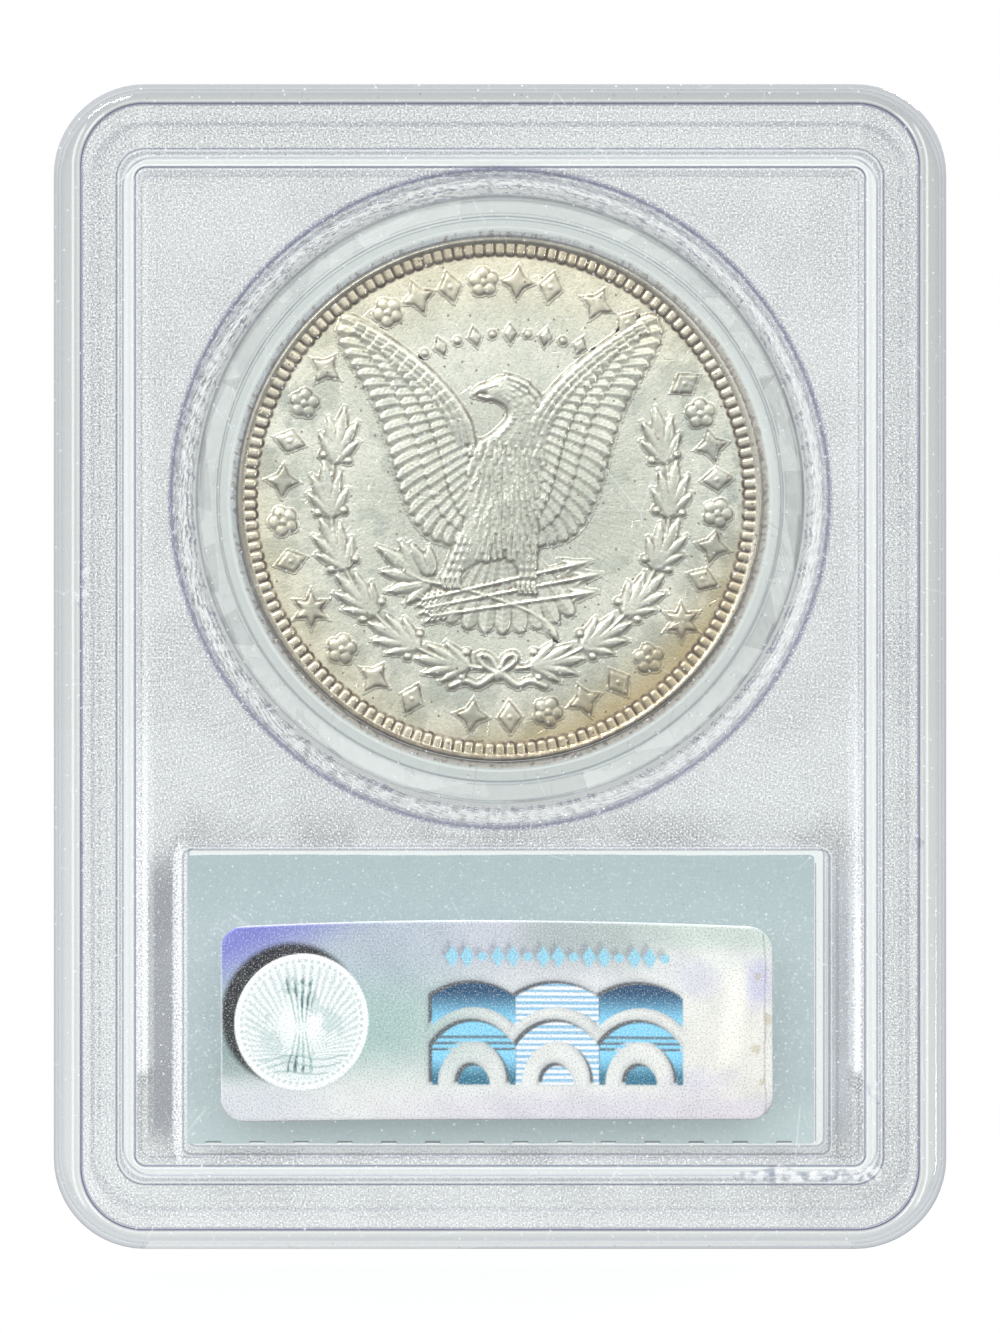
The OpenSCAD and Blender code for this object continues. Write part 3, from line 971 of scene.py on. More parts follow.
class Relief:
    """A height field over the coin's field; shapes are pressed into it one by one, and the highest wins."""

    def __init__(self, reach=17.6):
        count = 2 * int(reach / RELIEF_CELL) + 1
        self.axis = np.linspace(-reach, reach, count)
        self.height = np.full((count, count), RELIEF_FLOOR)
        self.inside = np.full((count, count), -9.0)

    def press(self, centre, reach, shape):
        """shape(x, z) gives (top, inside): the height wanted, and the distance inside the outline."""
        i0, i1 = np.searchsorted(self.axis, [centre[1] - reach - APRON, centre[1] + reach + APRON])
        j0, j1 = np.searchsorted(self.axis, [centre[0] - reach - APRON, centre[0] + reach + APRON])
        here = np.s_[i0:i1, j0:j1]
        x, z = np.meshgrid(self.axis[j0:j1], self.axis[i0:i1])
        top, inside = shape(x, z)
        found = np.maximum(np.minimum(top, DRAFT * inside), RELIEF_FLOOR)
        self.height[here] = np.maximum(self.height[here], found)
        self.inside[here] = np.maximum(self.inside[here], inside)

    # ---- shapes -------------------------------------------------------------
    def blade(self, base, tip, width, low, high, kind="feather", tilt=0.0, bend=0.0):
        """A feather or leaf from base to tip. It rises from low to high, and tilt lifts one side."""
        base, tip = np.array(base, float), np.array(tip, float)
        length = np.linalg.norm(tip - base)
        d = (tip - base) / length

        def leaf(s, u, side):
            half = width / 2 * np.sin(np.pi * u**0.8) ** 0.9
            cross = side / (width / 2)
            vein = 0.035 * np.exp(-((cross / 0.16) ** 2))
            top = low + (high - low) * (1 - np.abs(cross)) - vein
            ends = np.minimum(s, 1 - s) * length + 0.3 * width * (s < 0.5)
            return top, np.minimum(half - np.abs(side), ends)

        def feather(s, u, side):
            round_tip = np.sqrt(np.clip(1 - ((u - 0.78) / 0.22).clip(0) ** 2, 0, 1))
            half = width / 2 * (0.7 + 0.3 * np.minimum(1, 2 * u)) * round_tip
            cross = side / (width / 2)
            quill = 0.02 * np.exp(-((cross / 0.12) ** 2))
            barbs = 0.003 * np.sin((s * length + 0.5 * np.abs(side)) * 2 * np.pi / 0.42)
            top = low + (high - low) * u + tilt * cross - 0.045 * cross**2 + quill + barbs
            ends = np.minimum(s, 1 - s) * length + 0.02 + 0.3 * width * (s < 0.5)
            return top, np.minimum(half - np.abs(side), ends)

        def shape(x, z):
            px, pz = x - base[0], z - base[1]
            s = (px * d[0] + pz * d[1]) / length
            u = np.clip(s, 0, 1)
            side = -px * d[1] + pz * d[0] - bend * length * 4 * u * (1 - u)
            return (leaf if kind == "leaf" else feather)(s, u, side)

        self.press((base + tip) / 2, length / 2 + width, shape)

    def ball(self, centre, radius, height):
        def shape(x, z):
            r = np.hypot(x - centre[0], z - centre[1])
            return height * np.sqrt(np.clip(1 - (r / radius) ** 2, 0, 1)) + 0.01, radius - r

        self.press(centre, radius * 1.5, shape)

    def rope(self, points, radius, height, taper=0.0):
        """A rounded stroke along the points, thinner towards its far end when it tapers."""
        points = np.array(points, float)
        for k, (a, b) in enumerate(zip(points, points[1:])):
            thin = 1 - taper * (k + 0.5) / (len(points) - 1)
            r, h = radius * thin, height * (0.5 + 0.5 * thin)
            ab = b - a

            def shape(x, z, a=a, ab=ab, r=r, h=h):
                t = np.clip(((x - a[0]) * ab[0] + (z - a[1]) * ab[1]) / max(ab @ ab, 1e-9), 0, 1)
                gap = np.hypot(x - a[0] - t * ab[0], z - a[1] - t * ab[1])
                return h * np.sqrt(np.clip(1 - (gap / r) ** 2, 0, 1)) + 0.01, r - gap

            self.press((a + b) / 2, np.linalg.norm(ab) / 2 + 1.5 * radius, shape)

    def outline(self, points, height, soft, low=0.0):
        """A bulging plate inside a closed outline; soft is how far in from the edge it still rises."""
        p = np.array(points, float)
        q = np.roll(p, -1, axis=0)
        reach = (p.max(0) - p.min(0)).max() / 2 + 0.3

        def shape(x, z):
            gap = np.full(x.shape, 1e9)
            odd = np.zeros(x.shape, bool)
            for (ax, az), (bx, bz) in zip(p, q):
                ex, ez = bx - ax, bz - az
                t = np.clip(((x - ax) * ex + (z - az) * ez) / max(ex * ex + ez * ez, 1e-12), 0, 1)
                gap = np.minimum(gap, np.hypot(x - ax - t * ex, z - az - t * ez))
                if abs(ez) > 1e-12:
                    odd ^= ((az > z) != (bz > z)) & (x < ex * (z - az) / ez + ax)
            inside = np.where(odd, gap, -gap)
            return low + (height - low) * (1 - np.exp(-np.maximum(inside, 0) / soft)), inside

        self.press((p.max(0) + p.min(0)) / 2, reach, shape)

    def star(self, centre, radius, points, height, turn=0.0, waist=0.5):
        """A faceted star with its first point in the direction of turn."""
        wedge = math.pi / points
        ex, ez = radius * (waist * math.cos(wedge) - 1), radius * waist * math.sin(wedge)

        def shape(x, z):
            px, pz = x - centre[0], z - centre[1]
            r = np.hypot(px, pz)
            a = np.abs((np.arctan2(pz, px) - turn + wedge) % (2 * wedge) - wedge)
            inside = (r * np.sin(a) * ex - (r * np.cos(a) - radius) * ez) / math.hypot(ex, ez)
            return height * np.clip(0.8 + 0.2 * inside / (radius * 0.25), 0, 1.0), inside

        self.press(centre, radius * 1.3, shape)

    def rosette(self, centre, radius, petals, height, turn=0.0):
        for k in range(petals):
            a = turn + 2 * math.pi * k / petals
            self.ball(centre + 0.6 * radius * np.array([math.cos(a), math.sin(a)]), 0.42 * radius, height)
        self.ball(centre, 0.3 * radius, height * 1.3)

    def lozenge(self, centre, long, wide, height, turn=0.0):
        c, s = math.cos(turn), math.sin(turn)

        def shape(x, z):
            u = (x - centre[0]) * c + (z - centre[1]) * s
            v = -(x - centre[0]) * s + (z - centre[1]) * c
            inside = (1 - np.abs(u) / long - np.abs(v) / wide) * long * wide / math.hypot(long, wide)
            return np.minimum(height, height * (0.7 + 1.5 * inside)), inside

        self.press(centre, max(long, wide) * 1.3, shape)


def wing(relief, side):
    """One raised wing: long quills along the trailing edge, and rows of shorter feathers over them."""
    flip = np.array([side, 1.0])
    lead = [(1.9, 4.3), (2.2, 5.6), (3.2, 7.3), (4.8, 9.1), (6.8, 10.8), (9.0, 12.3), (10.6, 13.2),
            (11.5, 13.2)]
    trail = [(11.5, 13.2), (11.8, 12.2), (11.3, 10.7), (10.5, 9.3), (9.4, 7.4), (8.7, 5.7), (8.1, 3.8),
             (7.6, 1.9), (7.0, 0.0), (6.1, -1.8), (4.8, -3.0), (3.0, -3.4)]
    root = [(7.6, 10.9), (5.4, 8.6), (4.0, 6.5), (3.1, 4.4), (2.6, 2.4), (2.3, 0.5), (2.1, -1.0)]
    plate = np.vstack([spline(lead, 24)[:-1], spline(trail, 40), [(1.6, -2.0), (1.2, 1.0)]])
    relief.outline(flip * plate, 0.05, 0.25)
    count = 23
    tips, roots = spline(trail, count), spline(root, count)
    for k in range(count):
        grow = math.sin(math.pi * min(1, k / 8) / 2)
        relief.blade(flip * roots[k], flip * tips[k], 1.05, 0.02, 0.08 + 0.005 * grow, tilt=0.022 * side,
                     bend=0.03 * side)
    for share, start, wide, low, high in ((0.60, 0.1, 1.05, 0.05, 0.105), (0.32, -0.06, 0.95, 0.08, 0.14)):
        for base, reach in zip(roots[1:-1], tips[1:-1] - roots[1:-1]):
            relief.blade(flip * (base + start * reach), flip * (base + share * reach), wide, low, high,
                         tilt=0.02 * side, bend=0.02 * side)
    edge = spline(lead, 30)
    for inset, low, high in ((1.15, 0.10, 0.155), (0.62, 0.12, 0.17), (0.22, 0.13, 0.175)):
        for k in range(0, 25, 2):
            along = edge[k + 2] - edge[k]
            along /= np.linalg.norm(along)
            inward = np.array([along[1], -along[0]])
            thin = 1 - 0.35 * k / 27
            base = edge[k] + inward * inset * thin
            tip = base + along * 1.75 * thin + inward * 0.2
            relief.blade(flip * base, flip * tip, 0.8 * thin, low, high, tilt=0.02 * side)


def tail_and_body(relief):
    """The fan of the tail, the body in rows of small feathers, and the legs."""
    for k in range(-4, 5):
        a = math.radians(-90 + 9.5 * k)
        base = np.array([0.2 + 0.25 * k, -3.2])
        tip = base + 6.6 * np.array([math.cos(a), math.sin(a)])
        relief.blade(base, tip, 1.25, 0.03, 0.085, tilt=0.02 * np.sign(k + 0.1))
    body = [(-1.5, 4.3), (-2.3, 2.6), (-2.5, 0.4), (-2.7, -2.0), (-3.3, -3.8), (-3.9, -5.2), (-3.3, -5.9),
            (-2.3, -5.0), (-0.9, -4.4), (0.3, -4.2), (1.2, -5.0), (1.6, -6.1), (2.4, -5.9), (2.7, -4.4),
            (2.8, -2.0), (3.0, 0.6), (3.1, 2.4), (3.3, 3.9)]
    relief.outline(spline(body, 60), 0.15, 0.8, low=0.09)
    rng = np.random.default_rng(21)
    for row in range(13):
        z = 3.9 - 0.62 * row
        half = 2.35 - 0.055 * row
        for k in range(8):
            x = 0.3 + half * ((k + 0.5 * (row % 2)) / 3.5 - 1) + rng.uniform(-0.1, 0.1)
            lift = 0.035 * (1 - ((x - 0.3) / 2.8) ** 2) + rng.uniform(-0.003, 0.003)
            tip = (x + 0.1 * (x - 0.3) + rng.uniform(-0.1, 0.1), z - rng.uniform(0.8, 1.1))
            relief.blade((x, z + 0.2), tip, rng.uniform(0.42, 0.6), 0.119 + lift, 0.131 + lift)
    for top, foot in ((-2.4, -3.4), (2.1, 2.0)):
        for row in range(5):
            for k in (-1, 0, 1):
                x = top + (foot - top) * row / 4 + 0.42 * k
                z = -2.6 - 0.62 * row
                relief.blade((x, z), (x + (foot - top) * 0.2, z - 0.75), 0.55, 0.11, 0.155)


def eagle_head(relief):
    """Neck and head in rows of feathers, with beak, brow and eye."""
    neck = [(-1.5, 4.2), (-0.5, 4.8), (0.25, 5.5), (0.6, 6.2), (0.35, 6.8), (-0.3, 7.15), (-0.8, 7.3),
            (-1.0, 7.9), (-0.7, 8.5), (0.1, 8.9), (1.0, 8.75), (2.1, 8.0), (2.8, 6.9), (3.1, 5.4), (3.3, 3.8),
            (1.0, 3.0)]
    relief.outline(spline(neck, 60), 0.165, 0.7, low=0.09)
    line = spline([(0.2, 8.3), (1.4, 7.6), (2.0, 6.4), (1.9, 5.2), (1.3, 4.0)], 9)
    for k in range(8):
        d = line[k + 1] - line[k]
        d /= np.linalg.norm(d)
        n = np.array([-d[1], d[0]])
        for j in range(-2, 3):
            p = line[k] + n * 0.42 * j * (0.8 + 0.12 * k) + d * 0.2 * (j % 2)
            relief.blade(p, p + d * 1.05 + n * 0.05 * j, 0.5, 0.115, 0.17 - 0.006 * abs(j))
    beak = [(-0.7, 8.45), (-1.3, 8.35), (-1.85, 7.95), (-1.98, 7.45), (-1.72, 7.62), (-1.35, 7.72),
            (-0.8, 7.7)]
    relief.outline(spline(beak, 24), 0.15, 0.2, low=0.05)
    relief.rope([(-1.45, 7.52), (-1.0, 7.4), (-0.5, 7.38)], 0.15, 0.11)
    relief.rope([(-0.75, 8.2), (-0.3, 8.32), (0.15, 8.2)], 0.12, 0.185)
    relief.ball((-0.28, 8.08), 0.13, 0.18)


def talons(relief):
    """Two feet that hold the arrows and the branch."""
    for x, z in ((-3.6, -6.2), (1.9, -6.6)):
        for k in range(4):
            p = np.array([x - 0.55 + 0.36 * k, z + 0.25])
            relief.rope(spline([p + (0, 0.25), p + (-0.02, -0.15), p + (0.1, -0.45)], 4), 0.2, 0.16)


def arrows(relief):
    """Three arrows with barbed heads and feathered tails."""
    for tail, head in (((-5.6, -7.3), (6.6, -4.5)), ((-5.4, -7.9), (7.4, -5.4)), ((-5.0, -8.5), (7.1, -6.7))):
        tail, head = np.array(tail), np.array(head)
        d = (head - tail) / np.linalg.norm(head - tail)
        n = np.array([-d[1], d[0]])
        relief.rope([tail, head - 1.2 * d], 0.16, 0.11)
        barbs = [head, head - 2.3 * d + 0.62 * n, head - 1.7 * d + 0.1 * n,
                 head - 1.7 * d - 0.1 * n, head - 2.3 * d - 0.62 * n]
        relief.outline(barbs, 0.12, 0.25)
        for j in range(5):
            p = tail + d * (0.1 + 0.42 * j)
            relief.rope([p, p - 0.55 * d + 0.34 * n], 0.12, 0.10)
            relief.rope([p, p - 0.55 * d - 0.34 * n], 0.12, 0.10)


def olive_branch(relief):
    """The branch below the arrows, with its leaves at the left end."""
    stem = [(-7.0, -5.2), (-5.6, -5.9), (-3.6, -6.3), (-1.0, -7.0), (1.8, -8.0), (3.3, -8.9)]
    relief.rope(spline(stem, 16), 0.17, 0.11, taper=0.2)
    relief.blade((2.9, -8.5), (4.2, -10.2), 0.75, 0.03, 0.12, kind="leaf")
    for base, tip, wide in (
        ((-5.7, -5.7), (-8.9, -3.4), 1.1),
        ((-5.9, -5.8), (-7.2, -3.1), 0.95),
        ((-5.2, -5.6), (-6.5, -3.2), 0.95),
        ((-5.0, -5.6), (-5.2, -3.4), 0.9),
        ((-5.9, -5.8), (-8.7, -5.2), 0.9),
        ((-5.3, -6.1), (-8.3, -6.7), 0.95),
        ((-5.0, -6.1), (-6.9, -7.6), 0.8),
    ):
        relief.blade(base, tip, wide, 0.03, 0.13, kind="leaf")


CLUSTER = (             # lean from the stem, length, width and place along the stem of each leaf
    (-0.62, 2.5, 0.72, 0.0), (0.66, 2.4, 0.72, 0.1), (-0.34, 3.2, 0.86, 0.35),
    (0.36, 3.1, 0.86, 0.4), (0.02, 3.5, 0.95, 0.75),
)


def wreath(relief, side, clusters=6, first=-84, last=8):
    """One laurel branch that climbs from the bow: clusters of leaves with berries between them."""
    flip = np.array([side, 1.0])
    radius = 12.35
    relief.rope([flip * polar(radius, a) for a in np.linspace(first, last + 6, 40)], 0.15, 0.10, taper=0.3)
    for k in range(clusters):
        a = first + 4 + (last - first) * k / (clusters - 1)
        p = polar(radius, a)
        out = p / radius
        along = np.array([-out[1], out[0]])
        for lean, length, wide, ahead in CLUSTER:
            d = along * math.cos(lean) + out * math.sin(lean)
            base = p + along * ahead
            relief.blade(flip * base, flip * (base + d * length), wide, 0.02, 0.135, kind="leaf",
                         bend=0.04 * lean * side)
        for lean, reach in ((-1.0, 1.15), (0.95, 1.1)):
            d = along * math.cos(lean) + out * math.sin(lean)
            q = p - along * 0.15 + d * reach
            relief.rope([flip * p, flip * q], 0.07, 0.06)
            relief.ball(flip * q, 0.25, 0.13)


def bow(relief):
    """The ribbon that ties the two branches: loops, ends and knot."""
    for loop in ([(-0.4, -12.6), (-1.4, -11.9), (-1.5, -11.3), (-0.7, -11.5), (-0.2, -12.5)],
                 [(0.0, -12.6), (1.0, -11.9), (1.1, -11.3), (0.4, -11.5), (-0.1, -12.5)]):
        relief.rope(spline(loop, 12), 0.2, 0.11)
    for end in ([(-0.5, -12.8), (-1.6, -13.5), (-2.5, -13.2), (-3.6, -13.6)],
                [(0.3, -12.8), (1.3, -13.5), (2.2, -13.2), (3.3, -13.6)]):
        relief.rope(spline(end, 12), 0.26, 0.11, taper=0.3)
    relief.ball((-0.1, -12.7), 0.5, 0.14)


LEGEND_R = 15.85            # the circles the ornaments and the stars stand on
STAR_R = 15.9


def ornament(relief, place, kind, turn):
    """A lozenge, a rosette or a four-pointed star."""
    if kind == 0:
        relief.lozenge(place, 1.08, 0.78, 0.07, turn)
        relief.ball(place, 0.24, 0.10)
    elif kind == 1:
        relief.rosette(place, 1.02, 5, 0.08, turn)
    else:
        relief.star(place, 1.12, 4, 0.07, turn, 0.5)


def legend(relief, first, last, count, shift=0):
    """A run of small ornaments along the rim, where a coin has its legend."""
    for k in range(count):
        a = first + (last - first) * k / (count - 1)
        ornament(relief, polar(LEGEND_R, a), (k + shift) % 3, math.radians(a))


def motto(relief):
    """An arch of lozenges and dots above the bird, where a coin has its motto."""
    for k in range(13):
        a = math.radians(122 - 5.33 * k)
        place = np.array([0.75 + 13.9 * math.cos(a), -1.55 + 13.6 * math.sin(a)])
        if k % 2:
            relief.ball(place, 0.24, 0.08)
        else:
            relief.lozenge(place, 0.62, 0.42, 0.08, a)


def reverse_reliefs():
    """The reliefs of the face towards the photo, each with how strongly its outlines are stained."""
    eagle = Relief()
    arrows(eagle)
    wing(eagle, -1)
    wing(eagle, 1)
    tail_and_body(eagle)
    eagle_head(eagle)
    talons(eagle)
    olive_branch(eagle)
    laurel = Relief()
    wreath(laurel, -1)
    wreath(laurel, 1)
    bow(laurel)
    marks = Relief()
    legend(marks, 196.5, 143.2, 6)
    legend(marks, 121, 76.5, 6, 1)
    legend(marks, 63.5, 54.0, 2, 2)
    legend(marks, 32, -21.5, 7)
    legend(marks, 223.5, 246.2, 3, 1)
    legend(marks, 262.5, 313, 6, 2)
    for a in (210.2, -34):
        marks.star(polar(STAR_R, a), 1.25, 6, 0.1, math.radians(90))
    motto(marks)
    return {
        "reverse_eagle": (eagle, 0.35),
        "reverse_wreath": (laurel, 0.45),
        "reverse_ornaments": (marks, 0.9),
    }


def obverse_reliefs():
    """The reliefs of the other face: a star with rays inside a wreath."""
    emblem = Relief()
    for k in range(48):
        a = 360 / 48 * k
        emblem.rope([polar(4.9, a), polar(8.9 + 0.8 * (k % 2), a)], 0.16, 0.09, taper=0.5)
    emblem.star((0, 0), 8.2, 8, 0.17, math.radians(90), 0.42)
    emblem.star((0, 0), 5.4, 8, 0.18, math.radians(112.5), 0.5)
    emblem.ball((0, 0), 1.5, 0.185)
    laurel = Relief()
    wreath(laurel, -1, 7, -84, 24)
    wreath(laurel, 1, 7, -84, 24)
    bow(laurel)
    marks = Relief()
    for k in range(13):
        marks.star(polar(STAR_R, 205 - 230 / 12 * k), 1.2, 6, 0.1, math.radians(90))
    for k in range(7):
        ornament(marks, polar(LEGEND_R, 240 + 10 * k), k % 2, math.radians(240 + 10 * k))
    return {
        "obverse_emblem": (emblem, 0.25),
        "obverse_wreath": (laurel, 0.45),
        "obverse_ornaments": (marks, 0.9),
    }


def hollows(height):
    """How deep each point lies below the mean of its surroundings, from 0 to 1."""
    around = np.zeros(height.shape)
    for k in range(8):
        step = 2 + k % 2
        shift = (round(step * math.sin(math.pi * k / 4)), round(step * math.cos(math.pi * k / 4)))
        around += np.roll(height, shift, (0, 1)) / 8
    return np.clip((around - height) / 0.022, 0, 1)


def add_relief(name, relief, stain, material, front):
    """The part of a relief that stands on the field, as a closed solid.

    The front face's relief is upside down, as on a coin whose faces are turned against each other,
    and its left is still the case's left.
    """
    held = relief.inside > -APRON
    cell = held[:-1, :-1] | held[:-1, 1:] | held[1:, :-1] | held[1:, 1:]
    used = np.zeros(held.shape, bool)
    for i, j in ((0, 0), (0, 1), (1, 0), (1, 1)):
        used[i:used.shape[0] - 1 + i, j:used.shape[1] - 1 + j] |= cell
    count = int(used.sum())
    index = np.full(held.shape, -1)
    index[used] = np.arange(count)
    corners = np.stack([index[:-1, :-1], index[:-1, 1:], index[1:, 1:], index[1:, :-1]], -1)
    quads = corners[cell]

    # walls along every cell edge that has a cell on one side only
    ring = np.pad(cell, 1)
    walls = []
    for k, (down, right) in enumerate(((-1, 0), (0, 1), (1, 0), (0, -1))):
        a, b = k, (k + 1) % 4
        beyond = ring[1 + down:ring.shape[0] - 1 + down, 1 + right:ring.shape[1] - 1 + right]
        open_edge = cell & ~beyond
        start, end = corners[open_edge][:, a], corners[open_edge][:, b]
        walls.append(np.stack([end, start, start + count, end + count], -1))
    x, z = np.meshgrid(relief.axis, relief.axis)
    x, z = x[used], z[used]
    height = np.maximum(relief.height[used], 0.003)
    field = COIN_FACE - FIELD_DEPTH
    sign = 1 if front else -1
    turned = -1 if front else 1
    top = np.stack([x, sign * (field + height), turned * z], -1)
    under = np.stack([x, np.full(count, sign * (field + RELIEF_FLOOR)), turned * z], -1)
    points = np.concatenate([top, under]) + COIN_MID
    faces = np.concatenate([quads, quads[:, ::-1] + count, *walls])
    piece = add_piece(name, points, faces, "held_coin", material)
    outline = smooth(abs(relief.inside[used] + 0.03), APRON - 0.05, 0.0)
    filled = smooth(relief.inside[used], 0.0, 0.1) * smooth(relief.height[used], 0.2, 0.06)
    hollow = hollows(np.maximum(relief.height, 0))[used]
    dark = np.maximum(np.maximum(outline, 0.42 * filled) * stain, 0.75 * hollow)
    store_number(piece, "stain", np.tile(np.clip(dark, 0, 1), 2))
    return piece


DENTILS = 150               # teeth along the coin's rim
DENTIL_STEPS = 12           # mesh columns in each
REEDS = 180                 # ridges round its edge


def coin_profile():
    """Half of the coin's section from the field outwards: radius, height and kind of each ring."""
    field = COIN_FACE - FIELD_DEPTH
    inner = COIN_R - RIM_FLAT
    rings = [(r, field, "dentil") for r in np.linspace(inner - 1.05, inner - 0.05, 15)]
    rings = [(5.0, field, "flat"), (inner - 1.3, field, "flat"), *rings]
    rings += [(inner + 0.02, COIN_FACE - 0.05, "rim"), (inner + 0.09, COIN_FACE, "rim")]
    rings += [(inner + 0.3, COIN_FACE, "rim"), (COIN_R - 0.13, COIN_FACE, "rim")]
    rings += [(COIN_R - 0.06, COIN_FACE - 0.03, "rim"), (COIN_R - 0.01, COIN_FACE - 0.09, "edge")]
    rings += [(COIN_R, COIN_FACE - 0.16, "reed"), (COIN_R, 0.3, "reed")]
    return rings


def add_coin_blank(material):
    """The coin without its relief: field, ring of dentils, rim and reeded edge."""
    steps = DENTILS * DENTIL_STEPS
    a = np.arange(steps) * 2 * math.pi / steps
    middle = COIN_R - RIM_FLAT - 0.42
    pitch = 2 * math.pi * middle / DENTILS
    across = (np.arange(steps) / DENTIL_STEPS % 1 - 0.5) * pitch
    reed = 0.5 + 0.5 * np.cos(a * REEDS)
    profile = coin_profile()
    rings, stains = [], []
    for sign in (-1, 1):
        layer = []
        for radius, height, kind in profile:
            r = np.full(steps, radius)
            h = np.full(steps, height)
            dark = np.zeros(steps)
            if kind == "dentil":
                gap = np.hypot(np.maximum(abs(across) - 0.08, 0), max(middle - radius - 0.16, 0))
                h = h + 0.16 * np.sqrt(np.clip(1 - (gap / 0.28) ** 2, 0, 1))
                dark = 1.5 * smooth(abs(gap - 0.32), 0.15, 0.03)
            if kind == "reed":
                r = r - 0.09 * reed
            if kind in ("rim", "edge"):
                dark = dark + 0.15
            layer.append(np.stack([r * np.cos(a), sign * h, r * np.sin(a)], -1))
            stains.append(dark)
        rings.append(layer if sign < 0 else layer[::-1])
        if sign > 0:
            stains = stains[:len(profile)] + stains[len(profile):][::-1]
    points = np.concatenate([*rings[0], *rings[1]])
    count = 2 * len(profile)
    index = np.arange(count * steps).reshape(count, steps)
    after = np.roll(index, -1, axis=1)
    quads = np.stack([index[:-1], after[:-1], after[1:], index[1:]], -1).reshape(-1, 4).tolist()
    caps = [index[0][::-1].tolist(), index[-1].tolist()]
    blank = add_piece("coin_blank", points + COIN_MID, quads + caps, "held_coin", material)
    store_number(blank, "stain", np.clip(np.concatenate(stains), 0, 1))
    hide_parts("coin")


def coin_material():
    """Old silver with soft lustre, toned at the rim and brown in the hollows."""
    paint = Paint.material("toned_silver")
    x, _, z = paint.place()
    here = paint.joined(x, z, 0)
    up = z - COIN_MID[2]
    radius = paint.length(x, up)
    angle = paint.math("ARCTAN2", up, x)
    cloud = paint.noise(here, 0.16, 4, 0.6)
    patch = paint.noise(paint.joined(x + 40, z, 0), 0.33, 3, 0.6)
    rimward = radius.step(9.5, 18.0)
    speckle = paint.noise(here, 3.2, 4, 0.75)
    gold = (up * -0.8 + x * 0.55).step(8.5, 18.0) * radius.step(12.5, 18.6)
    rose = (up * -0.55 - x * 0.8).step(8.0, 18.0) * radius.step(12.0, 18.6)
    inner = COIN_R - RIM_FLAT
    tan = radius.step(inner - 1.15, inner - 0.7)
    # the rim: painted reflection, lighter on the right and dark at the top, darker brown towards the bottom,
    # with random lighter patches
    rim_tone_and_reflection = paint.washes(
        srgb(156, 150, 138),
        ((x / COIN_R).step(0.3, 1.0), (200, 194, 180)),
        ((up / COIN_R).step(-0.4, -0.9) * 0.9, (104, 94, 78)),
        ((up / COIN_R).step(0.6, 0.95) * 0.8, (120, 118, 108)),
        (paint.noise(here, 0.9, 3, 0.6).step(0.4, 0.65) * 0.35, (190, 184, 170)),
    )
    stain = Value(paint, paint.node("ShaderNodeAttribute", attribute_name="stain").outputs["Fac"])
    uneven = paint.noise(here, 1.1, 3, 0.6).step(0.25, 0.75)
    dirt = paint.noise(here, 2.6, 4, 0.7).step(0.60, 0.70) * radius.step(17.6, 18.6)
    spots = paint.cells(here, 0.42).step(0.05, 0.02)
    marks = scratches(paint, x, z, 0.35, 51.0, 0.010).over(scratches(paint, x, z, 0.8, 77.0, 0.02) * 0.6)
    colour = paint.washes(
        srgb(226, 226, 208),
        (cloud.step(0.35, 0.65), (246, 244, 226)),
        ((rimward * patch.step(0.40, 0.62)).over(patch.step(0.58, 0.70) * 0.6) * 0.8, (162, 170, 160)),
        # painted light, warm, towards the top of the coin near the rim, and painted shade over the middle of
        # the field
        (rimward * up.step(4, 17) * 0.65, (250, 236, 200)),
        (radius.step(12.5, 4.0) * 0.62, (188, 190, 176)),
        (speckle.step(0.48, 0.30) * 0.35, (146, 144, 126)),
        (speckle.step(0.54, 0.72) * 0.35, (240, 240, 228)),
        (gold * 0.85, (202, 172, 104)),
        (rose * 0.5, (242, 222, 176)),
        (tan * 0.6, (204, 189, 164)),
        (tan * up.step(12, 18) * 0.4, (160, 144, 114)),
        (radius.step(inner, inner + 0.1) * 0.9, rim_tone_and_reflection),
        ((stain * (0.55 + 0.6 * uneven)).held(), (84, 66, 50)),
        (dirt * 0.7, (96, 76, 58)),
        (spots * 0.8, (120, 92, 62)),
        (marks * 0.35, (150, 140, 120)),
    )
    flow = paint.noise(paint.joined(angle * 26, radius * 0.35, 0), 1.0, 3, 0.7)
    fine = paint.noise(here, 5.0, 3, 0.7)
    roughness = (0.12 + 0.18 * fine + 0.10 * patch + 0.25 * stain).held()
    normal = paint.bump(flow * 0.7 + fine * 0.7 - marks * 0.5, 0.024, 0.65)
    kind = "ShaderNodeBsdfPrincipled"
    return paint.out(paint.node(kind, Base_Color=colour, Metallic=1.0, Roughness=roughness, Normal=normal))


# ============================ weld flash ====================================
AROUND = 28                 # mesh columns and rows of a drop
ROWS = 12


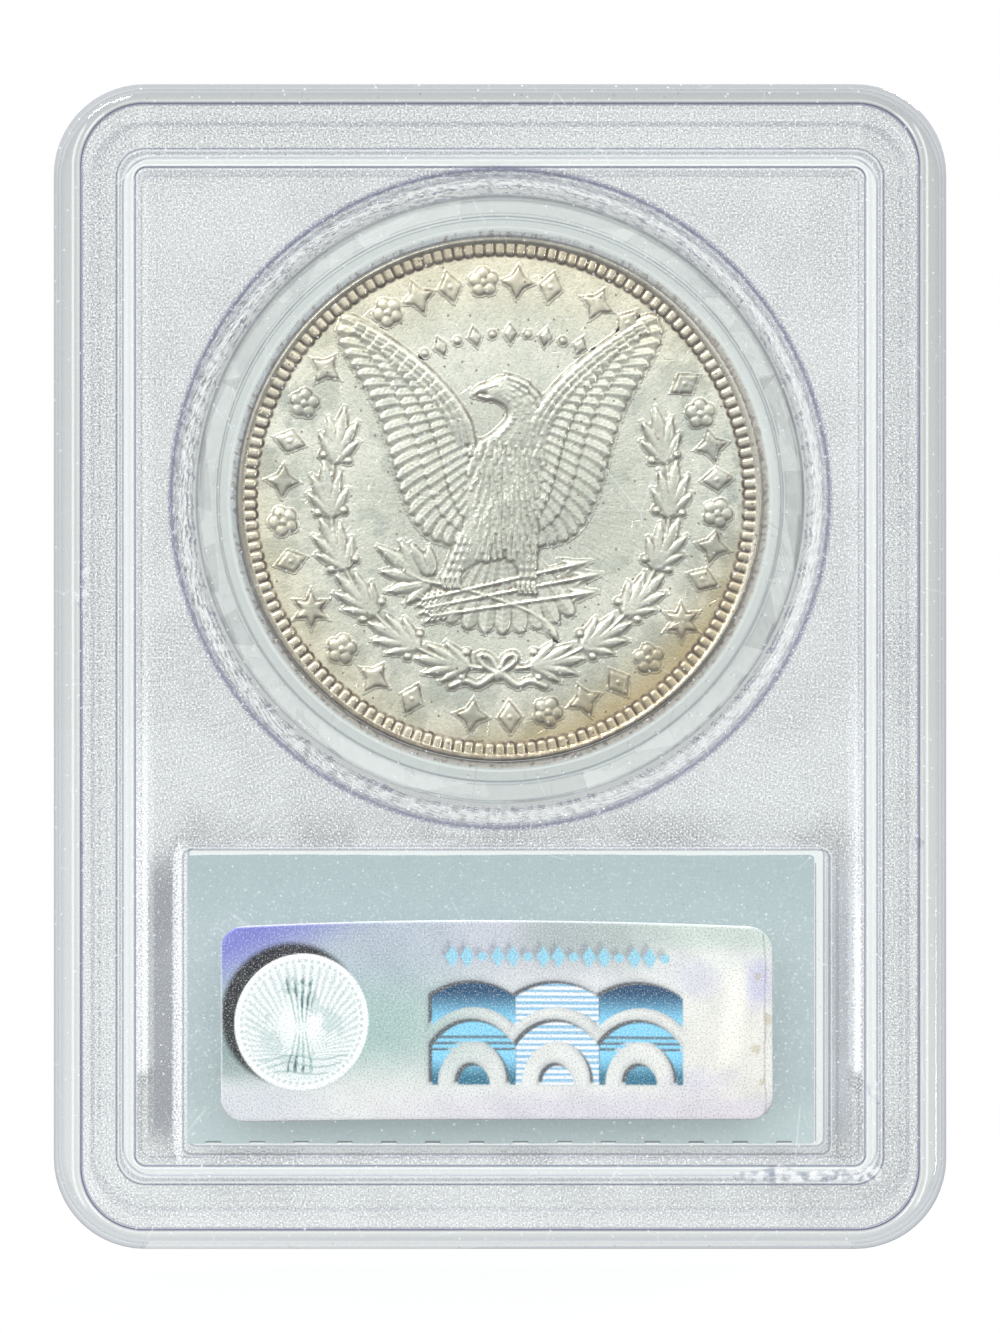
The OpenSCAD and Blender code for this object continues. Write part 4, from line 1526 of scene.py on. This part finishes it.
def add_weld_flash():
    """Beads of plastic squeezed out along the rim's step and over the weld."""
    step_x = CASE_W / 2 - RECESS["side"]
    step_z = CASE_H - RECESS["end"]
    weld_x = CASE_W / 2 - WELD["side"] - WELD["wide"] / 2
    weld_z = WELD["end"] + WELD["wide"] / 2
    middle_y = case_low[1] + 0.5
    # sideways place, height, half width, half height, thickness
    drops = [
        (-step_x, 46.9, 0.45, 1.1, 0.16),
        (-step_x + 0.1, 49.0, 0.4, 0.8, 0.15),
        (-step_x, 29.0, 0.25, 0.4, 0.12),
        (step_x, 29.4, 0.45, 0.5, 0.2),
        (-1.2, step_z, 0.4, 0.25, 0.14),
        (1.0, step_z, 0.4, 0.25, 0.14),
        (weld_x, 11.4, 0.5, 0.8, 0.12),
    ]
    rng = np.random.default_rng(4)
    smears = ((18.6, 2.0, 0.42), (20.6, 1.9, 0.62), (23.2, 2.2, 0.45), (25.2, 1.7, 0.55), (26.6, 1.2, 0.6))
    for x, wide, tall in smears:
        drops.append((x, weld_z - 0.15 + rng.uniform(-0.15, 0.15), wide, tall, rng.uniform(0.12, 0.18)))

    lat = math.pi * np.arange(ROWS + 1)[:, None] / ROWS
    lon = 2 * math.pi * np.arange(AROUND)[None, :] / AROUND
    index = np.arange((ROWS + 1) * AROUND).reshape(ROWS + 1, AROUND)
    after = np.roll(index, -1, axis=1)
    quads = np.stack([index[:-1], after[:-1], after[1:], index[1:]], -1).reshape(-1, 4)
    points = []
    faces = []
    for k, (x, z, wide, tall, thick) in enumerate(drops):
        turn = rng.uniform(-0.12, 0.16)
        lump = 1 + 0.18 * np.sin(3 * lon + k) + 0.10 * np.sin(5 * lon + 2.3 * k)
        u = wide * np.sin(lat) * np.cos(lon) * lump
        v = tall * np.sin(lat) * np.sin(lon) * lump
        drop = [
            x + u * math.cos(turn) - v * math.sin(turn),
            middle_y - thick * np.cos(lat) * 1.4,
            z + u * math.sin(turn) + v * math.cos(turn),
        ]
        points.append(np.stack(np.broadcast_arrays(*drop), -1).reshape(-1, 3))
        faces.append(quads + k * index.size)
    material = flash_material()
    add_piece("weld_flash", np.concatenate(points), np.concatenate(faces), "case", material)


# ============================ the whole ====================================
def repaint(node, material, clear=False):
    """Gives a CAD node its material. A clear one casts no shadow and isn't mirrored, so light passes it."""
    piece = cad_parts[node]
    piece.data.materials.clear()
    piece.data.materials.append(material)
    if clear:
        piece.visible_shadow = False
        piece.visible_diffuse = False
        piece.visible_glossy = False


add_camera()
add_world()
add_floor()
add_sun("key_sun", 1.15, 12, (-0.35, -1.0, 0.55))
add_sun("fill_sun", 0.45, 9, (0.75, -1.0, -0.15))
add_sun("back_sun", 1.3, 12, (0.35, 1.0, 0.55))

repaint("rear_shell", shell_material("rear_plastic", rear=True), clear=True)
repaint("front_shell", shell_material("front_plastic", rear=False), clear=True)
repaint("coin_ring", ring_material(), clear=True)
add_label()
add_sticker()
silver = coin_material()
add_coin_blank(silver)
for name, (relief, stain) in reverse_reliefs().items():
    add_relief(name, relief, stain, silver, front=False)
for name, (relief, stain) in obverse_reliefs().items():
    add_relief(name, relief, stain, silver, front=True)
add_weld_flash()

bpy.context.scene.view_settings.view_transform = "Standard"
bpy.context.scene.cycles.transparent_max_bounces = 64
bpy.context.scene.cycles.max_bounces = 4
bpy.context.scene.cycles.diffuse_bounces = 2
bpy.context.scene.cycles.glossy_bounces = 2
